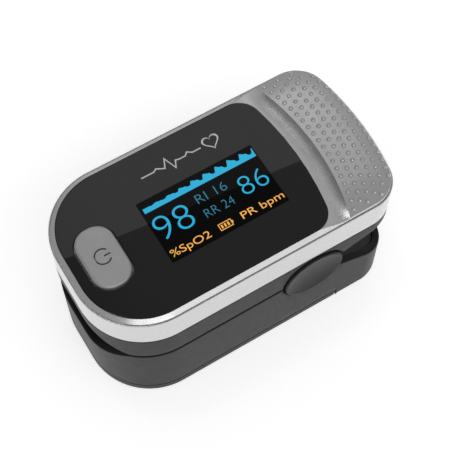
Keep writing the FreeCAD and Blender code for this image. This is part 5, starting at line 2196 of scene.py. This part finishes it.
@dataclass
class FacePlate(Assembly):
    """Glossy face plate, the display window in it and everything that is lit or printed."""

    bezel: TopBezel
    gap: float = 0.03
    edge: float = 0.1
    screen: Flat = (11.72, 6.53)
    trace_box: tuple[Flat, Flat] = ((-8.3, 9.3), (7.7, 12.2))

    def build(self) -> None:
        """Make every piece."""
        low, high = node_box("faceplate")
        glass_low, glass_high = node_box("oled_display")
        self.top = high.z
        self.centre = ((glass_low.x + glass_high.x) / 2, (glass_low.y + glass_high.y) / 2)
        self.sheet(low.z, high.z)
        self.window()
        for glyph in Glyphs:
            self.text(glyph)
        self.wave()
        self.battery()
        self.trace()

    def sheet(self, low: float, high: float) -> None:
        """Plate with eased edges and the opening for the button.

        Args:
            low: lowest height.
            high: highest height.
        """
        plate = self.bezel.plate(self.gap)
        stops = plate.stops(2.0, math.radians(4))
        button_low, button_high = node_box("power_button")
        clear = 0.35 - 0.2
        hole = Outline.block(
            (button_low.x + clear, button_low.y + clear),
            (button_high.x - clear, button_high.y - clear),
            3.5,
        )
        marks = hole.stops(1.0, math.radians(6))
        blank = Blank("face_sheet")
        turns = spread(0.0, math.pi / 2, 4)
        round_off = self.edge
        edges = [(0.0, low)]
        edges += [(round_off * (1 - math.cos(a)), high - round_off * (1 - math.sin(a))) for a in turns]
        edges.append((round_off + 0.04, high))
        rings = []
        for outline, places, sign in ((plate, stops, 1), (hole, marks, -1)):
            loops = [
                [blank.mesh.verts.new(spot) for spot in outline.ring(places, sign * inset, z)]
                for inset, z in edges
            ]
            for before, after in zip(loops, loops[1:]):
                for place in range(len(before)):
                    step = (place + 1) % len(before)
                    blank.mesh.faces.new((before[place], before[step], after[step], after[place]))
            rings.append(loops)
        for level in (0, -1):
            outer, inner = rings[0][level], rings[1][level]
            flats = [[Vector((v.co.x, v.co.y, 0.0)) for v in loop] for loop in (outer, inner)]
            corners = outer + inner
            for triangle in tessellate_polygon(flats):
                blank.mesh.faces.new([corners[index] for index in triangle])
        blank.piece(Body.UPPER, "face", self.shelf, ["faceplate"], crease=60)

    def place(self, spot: Flat) -> Flat:
        """Point of the plan for a point round the display's centre."""
        return self.centre[0] + spot[0], self.centre[1] + spot[1]

    def window(self) -> None:
        """Dark display window, which reflects less than the plate round it."""
        (hx, hy), (cx, cy) = self.screen, self.centre
        outline = Outline.block((cx - hx, cy - hy), (cx + hx, cy + hy), 0.12)
        blank = Blank("display_window")
        rounded_solid(blank, outline, self.top - 0.1, self.top + 0.008, 0.01, 0.004)
        blank.piece(Body.UPPER, "window", self.shelf, crease=60)

    def plaque(self, blank: Blank, loops: Sequence[Sequence[Flat]], rise: float = 0.014) -> None:
        """Thin lit or printed shape on the plate."""
        placed = [[self.place(spot) for spot in loop] for loop in loops]
        blank.slab(placed, self.top - 0.02, self.top + rise)

    def text(self, glyph: Glyphs) -> None:
        """Text fitted to its box.

        Args:
            glyph: the text.
        """
        words, low, high, finish, thin = glyph.value
        curve = bpy.data.curves.new(glyph.name.lower(), "FONT")
        curve.body = words
        curve.resolution_u = 6
        curve.offset = -thin
        curve.extrude = 0.01
        carrier = stand("carrier", curve)
        bpy.context.view_layer.update()
        graph = bpy.context.evaluated_depsgraph_get()
        mesh = bpy.data.meshes.new_from_object(carrier.evaluated_get(graph))
        bpy.data.objects.remove(carrier)
        xs = [vertex.co.x for vertex in mesh.vertices]
        ys = [vertex.co.y for vertex in mesh.vertices]
        x0, y0 = self.place(low)
        x1, y1 = self.place(high)
        scale_x, scale_y = (x1 - x0) / (max(xs) - min(xs)), (y1 - y0) / (max(ys) - min(ys))
        for vertex in mesh.vertices:
            x = x0 + (vertex.co.x - min(xs)) * scale_x
            y = y0 + (vertex.co.y - min(ys)) * scale_y
            z = self.top + (0.014 if vertex.co.z > 0 else -0.02)
            vertex.co = Vector((x, y, z)) * MM
        name = "lit_" + glyph.name.lower()
        obj = stand(name, mesh)
        dress(obj, Body.UPPER, finish, self.shelf)

    def wave(self) -> None:
        """Filled pulse wave along the top of the display."""
        left, right, base = -11.15, 11.5, 4.05
        top: list[Flat] = []
        steps = 150
        for place in range(steps + 1):
            share = place / steps
            beat = (share * 9.0 + 0.2) % 1.0
            rise = min(beat / 0.16, 1.0) * max(1.0 - max(beat - 0.22, 0.0) / 0.6, 0.0)
            rise += 0.2 * math.exp(-(((beat - 0.62) / 0.08) ** 2))
            grow = smooth((share + 0.1) / 0.9)
            level = 0.95 - 0.2 * share + 1.1 * grow * rise
            top.append((left + (right - left) * share, base + round(level / 0.1) * 0.1))
        loop = [(left, base), (right, base), *reversed(top)]
        blank = Blank("lit_wave")
        self.plaque(blank, [loop])
        blank.piece(Body.UPPER, "blue", self.shelf)

    def battery(self) -> None:
        """Battery sign: a frame with a nub and three bars."""
        x0, y0, x1, y1 = -1.55, -5.6, 1.0, -4.2
        line = 0.16

        def block(left: float, low: float, right: float, high: float) -> list[Flat]:
            """Loop of a rectangle."""
            return [(left, low), (right, low), (right, high), (left, high)]

        blank = Blank("lit_battery")
        inner = block(x0 + line, y0 + line, x1 - line, y1 - line)
        self.plaque(blank, [block(x0, y0, x1, y1), inner])
        self.plaque(blank, [block(x1, -5.15, x1 + 0.2, -4.65)])
        for number in range(3):
            start = x0 + 0.42 + number * 0.62
            self.plaque(blank, [block(start, y0 + 0.34, start + 0.34, y1 - 0.34)])
        blank.piece(Body.UPPER, "orange", self.shelf)

    def trace(self) -> None:
        """Printed pulse trace with a small heart, above the display."""
        (x0, y0), (x1, y1) = self.trace_box
        middle, tall, line = (y0 + y1) / 2 - 0.2, y1 - y0, 0.13
        shape = ((0.0, 0.0), (0.16, 0.0), (0.2, 0.14), (0.24, 0.0), (0.29, -0.12), (0.34, 0.5))
        shape += ((0.4, -0.42), (0.44, 0.06), (0.48, 0.0), (0.56, 0.0), (0.6, 0.2), (0.65, 0.0), (0.76, 0.0))
        points = [Vector((x0 + (x1 - x0) * s, middle + tall * r)) for s, r in shape]
        left: list[Flat] = []
        right: list[Flat] = []
        for place, point in enumerate(points):
            before, after = points[max(place - 1, 0)], points[min(place + 1, len(points) - 1)]
            first = (point - before).normalized() if place else (after - point).normalized()
            second = (after - point).normalized() if place < len(points) - 1 else first
            bisect = (first + second).normalized()
            side = Vector((-bisect.y, bisect.x))
            reach = min(line / max(side.dot(Vector((-first.y, first.x))), 0.3), line * 2.2)
            left.append(tuple(point + side * reach))
            right.append(tuple(point - side * reach))
        blank = Blank("printed_trace")
        self.plaque(blank, [left + right[::-1]])
        heart_x, size = x0 + (x1 - x0) * 0.9, tall * 0.036
        outer: list[Flat] = []
        inner: list[Flat] = []
        for turn in range(56):
            a = 2 * math.pi * turn / 56
            x = 16 * math.sin(a) ** 3
            y = 13 * math.cos(a) - 5 * math.cos(2 * a) - 2 * math.cos(3 * a) - math.cos(4 * a)
            outer.append((heart_x + x * size, middle + 0.25 + y * size))
            inner.append((heart_x + x * size * 0.8, middle + 0.25 + (y - 0.2) * size * 0.8))
        self.plaque(blank, [outer, inner])
        blank.piece(Body.UPPER, "print", self.shelf)


@dataclass
class Studio:
    """Pale floor, soft lights and the camera."""

    glow: float = 0.6
    sky: float = 0.36
    dim_sky: float = 0.08
    dim_toward: Spot = (-0.28, 0.39, 0.88)
    target: Spot = (0.002103, 0.001123, 0.016041)
    azimuth: float = -31.161
    elevation: float = 63.054
    distance: float = 0.22403
    lens: float = 95.87

    def build(self) -> None:
        """Set the studio up."""
        self.world()
        self.floor()
        self.cards()
        self.camera()

    def world(self) -> None:
        """Pale surroundings with one dim patch, high behind the nose."""
        world = bpy.data.worlds.new("studio")
        world.use_nodes = True
        tree = world.node_tree
        back = tree.nodes["Background"]
        preset(back, Strength=1.0)
        place = tree.nodes.new("ShaderNodeTexCoord")
        toward = tree.nodes.new("ShaderNodeVectorMath")
        toward.operation = "DOT_PRODUCT"
        toward.inputs[1].default_value = self.dim_toward
        share = tree.nodes.new("ShaderNodeMapRange")
        share.interpolation_type = "SMOOTHSTEP"
        preset(
            share, From_Min=math.cos(math.radians(26)), From_Max=math.cos(math.radians(12)),
            To_Min=self.sky, To_Max=self.dim_sky,
        )
        tree.links.new(place.outputs["Generated"], toward.inputs[0])
        tree.links.new(toward.outputs["Value"], share.inputs["Value"])
        tree.links.new(share.outputs["Result"], back.inputs["Color"])
        bpy.context.scene.world = world
        bpy.context.scene.view_settings.view_transform = "Standard"

    def floor(self) -> None:
        """Pale floor that shows only from above."""
        size = 1.5
        data = bpy.data.meshes.new("floor")
        corners = [(-size, -size, 0.0), (size, -size, 0.0), (size, size, 0.0), (-size, size, 0.0)]
        data.from_pydata(corners, [], [(0, 1, 2, 3)])
        floor = stand("floor", data)
        material = bpy.data.materials.new("pale_floor")
        material.use_nodes = True
        tree = material.node_tree
        tree.nodes.clear()
        out = tree.nodes.new("ShaderNodeOutputMaterial")
        pale = tree.nodes.new("ShaderNodeBsdfPrincipled")
        preset(
            pale, Base_Color=(0.9, 0.9, 0.9, 1.0), Roughness=0.8, Specular_IOR_Level=0.0,
            Emission_Color=(1.0, 1.0, 1.0, 1.0), Emission_Strength=self.glow,
        )
        clear = tree.nodes.new("ShaderNodeBsdfTransparent")
        mix = tree.nodes.new("ShaderNodeMixShader")
        side = tree.nodes.new("ShaderNodeNewGeometry")
        tree.links.new(side.outputs["Backfacing"], mix.inputs["Fac"])
        tree.links.new(pale.outputs["BSDF"], mix.inputs[1])
        tree.links.new(clear.outputs["BSDF"], mix.inputs[2])
        tree.links.new(mix.outputs["Shader"], out.inputs["Surface"])
        data.materials.append(material)

    def light(self, name: str, place: Spot, aim: Spot, along: Spot, size: Flat, power: float) -> None:
        """Soft rectangular light.

        Args:
            name: name of the light.
            place: where it stands, in metres.
            aim: the point it faces.
            along: direction of its first side.
            size: its sides.
            power: its power in watts.
        """
        data = bpy.data.lights.new(name, "AREA")
        data.shape = "RECTANGLE"
        data.size, data.size_y = size
        data.energy = power
        obj = stand(name, data)
        back = (Vector(place) - Vector(aim)).normalized()
        across = Vector(along)
        across = (across - back * across.dot(back)).normalized()
        turn = Matrix((across, back.cross(across), back)).transposed()
        obj.matrix_world = Matrix.Translation(place) @ turn.to_4x4()
        obj.visible_camera = False

    def cards(self) -> None:
        """Lights: a softbox, a panel at the near side, one over the crest and a card at the far side."""
        centre = (0.0, 0.0, 0.03)
        self.light("softbox", (-0.14, -0.36, 0.62), centre, (0.9, -0.35, 0.0), (0.45, 0.2), 0.62)
        self.light("near_panel", (0.22, -0.44, 0.55), centre, (1.0, 0.0, 0.0), (0.35, 0.25), 0.25)
        self.light("crest_panel", (-0.05, 0.135, 0.63), centre, (1.0, 0.0, 0.0), (0.08, 0.08), 0.12)
        over, under = (0.112, 0.28, 0.5), (0.112, 0.28, 0.0)
        self.light("far_card", over, under, (0.995, -0.101, 0.0), (0.46, 0.12), 0.085)

    def camera(self) -> None:
        """Camera at the object's quarter view from above."""
        data = bpy.data.cameras.new("camera")
        data.lens = self.lens
        data.sensor_width = 36.0
        data.clip_start, data.clip_end = 0.005, 20.0
        camera = stand("camera", data)
        turn, rise = math.radians(self.azimuth), math.radians(self.elevation)
        back = Vector(
            (math.sin(turn) * math.cos(rise), -math.cos(turn) * math.cos(rise), math.sin(rise))
        )
        camera.location = Vector(self.target) + back * self.distance
        camera.rotation_euler = (-back).to_track_quat("-Z", "Y").to_euler()
        bpy.context.scene.camera = camera


def main() -> None:
    """Build the clip and the studio round it."""
    logging.basicConfig(level=logging.INFO, format="%(name)s %(message)s")
    shelf, plan = Shelf(), Plan()
    bezel = TopBezel(shelf, plan)
    parts: list[Assembly] = [
        LowerHalf(shelf, plan),
        BatteryBay(shelf, plan),
        Hinge(shelf, plan),
        UpperHalf(shelf, plan),
        bezel,
        FacePlate(shelf, plan, bezel),
        PowerButton(shelf, plan),
    ]
    for part in parts:
        part.build()
        LOG.info("%s is done", type(part).__name__)
    Studio().build()


if __name__ == "__main__":
    main()
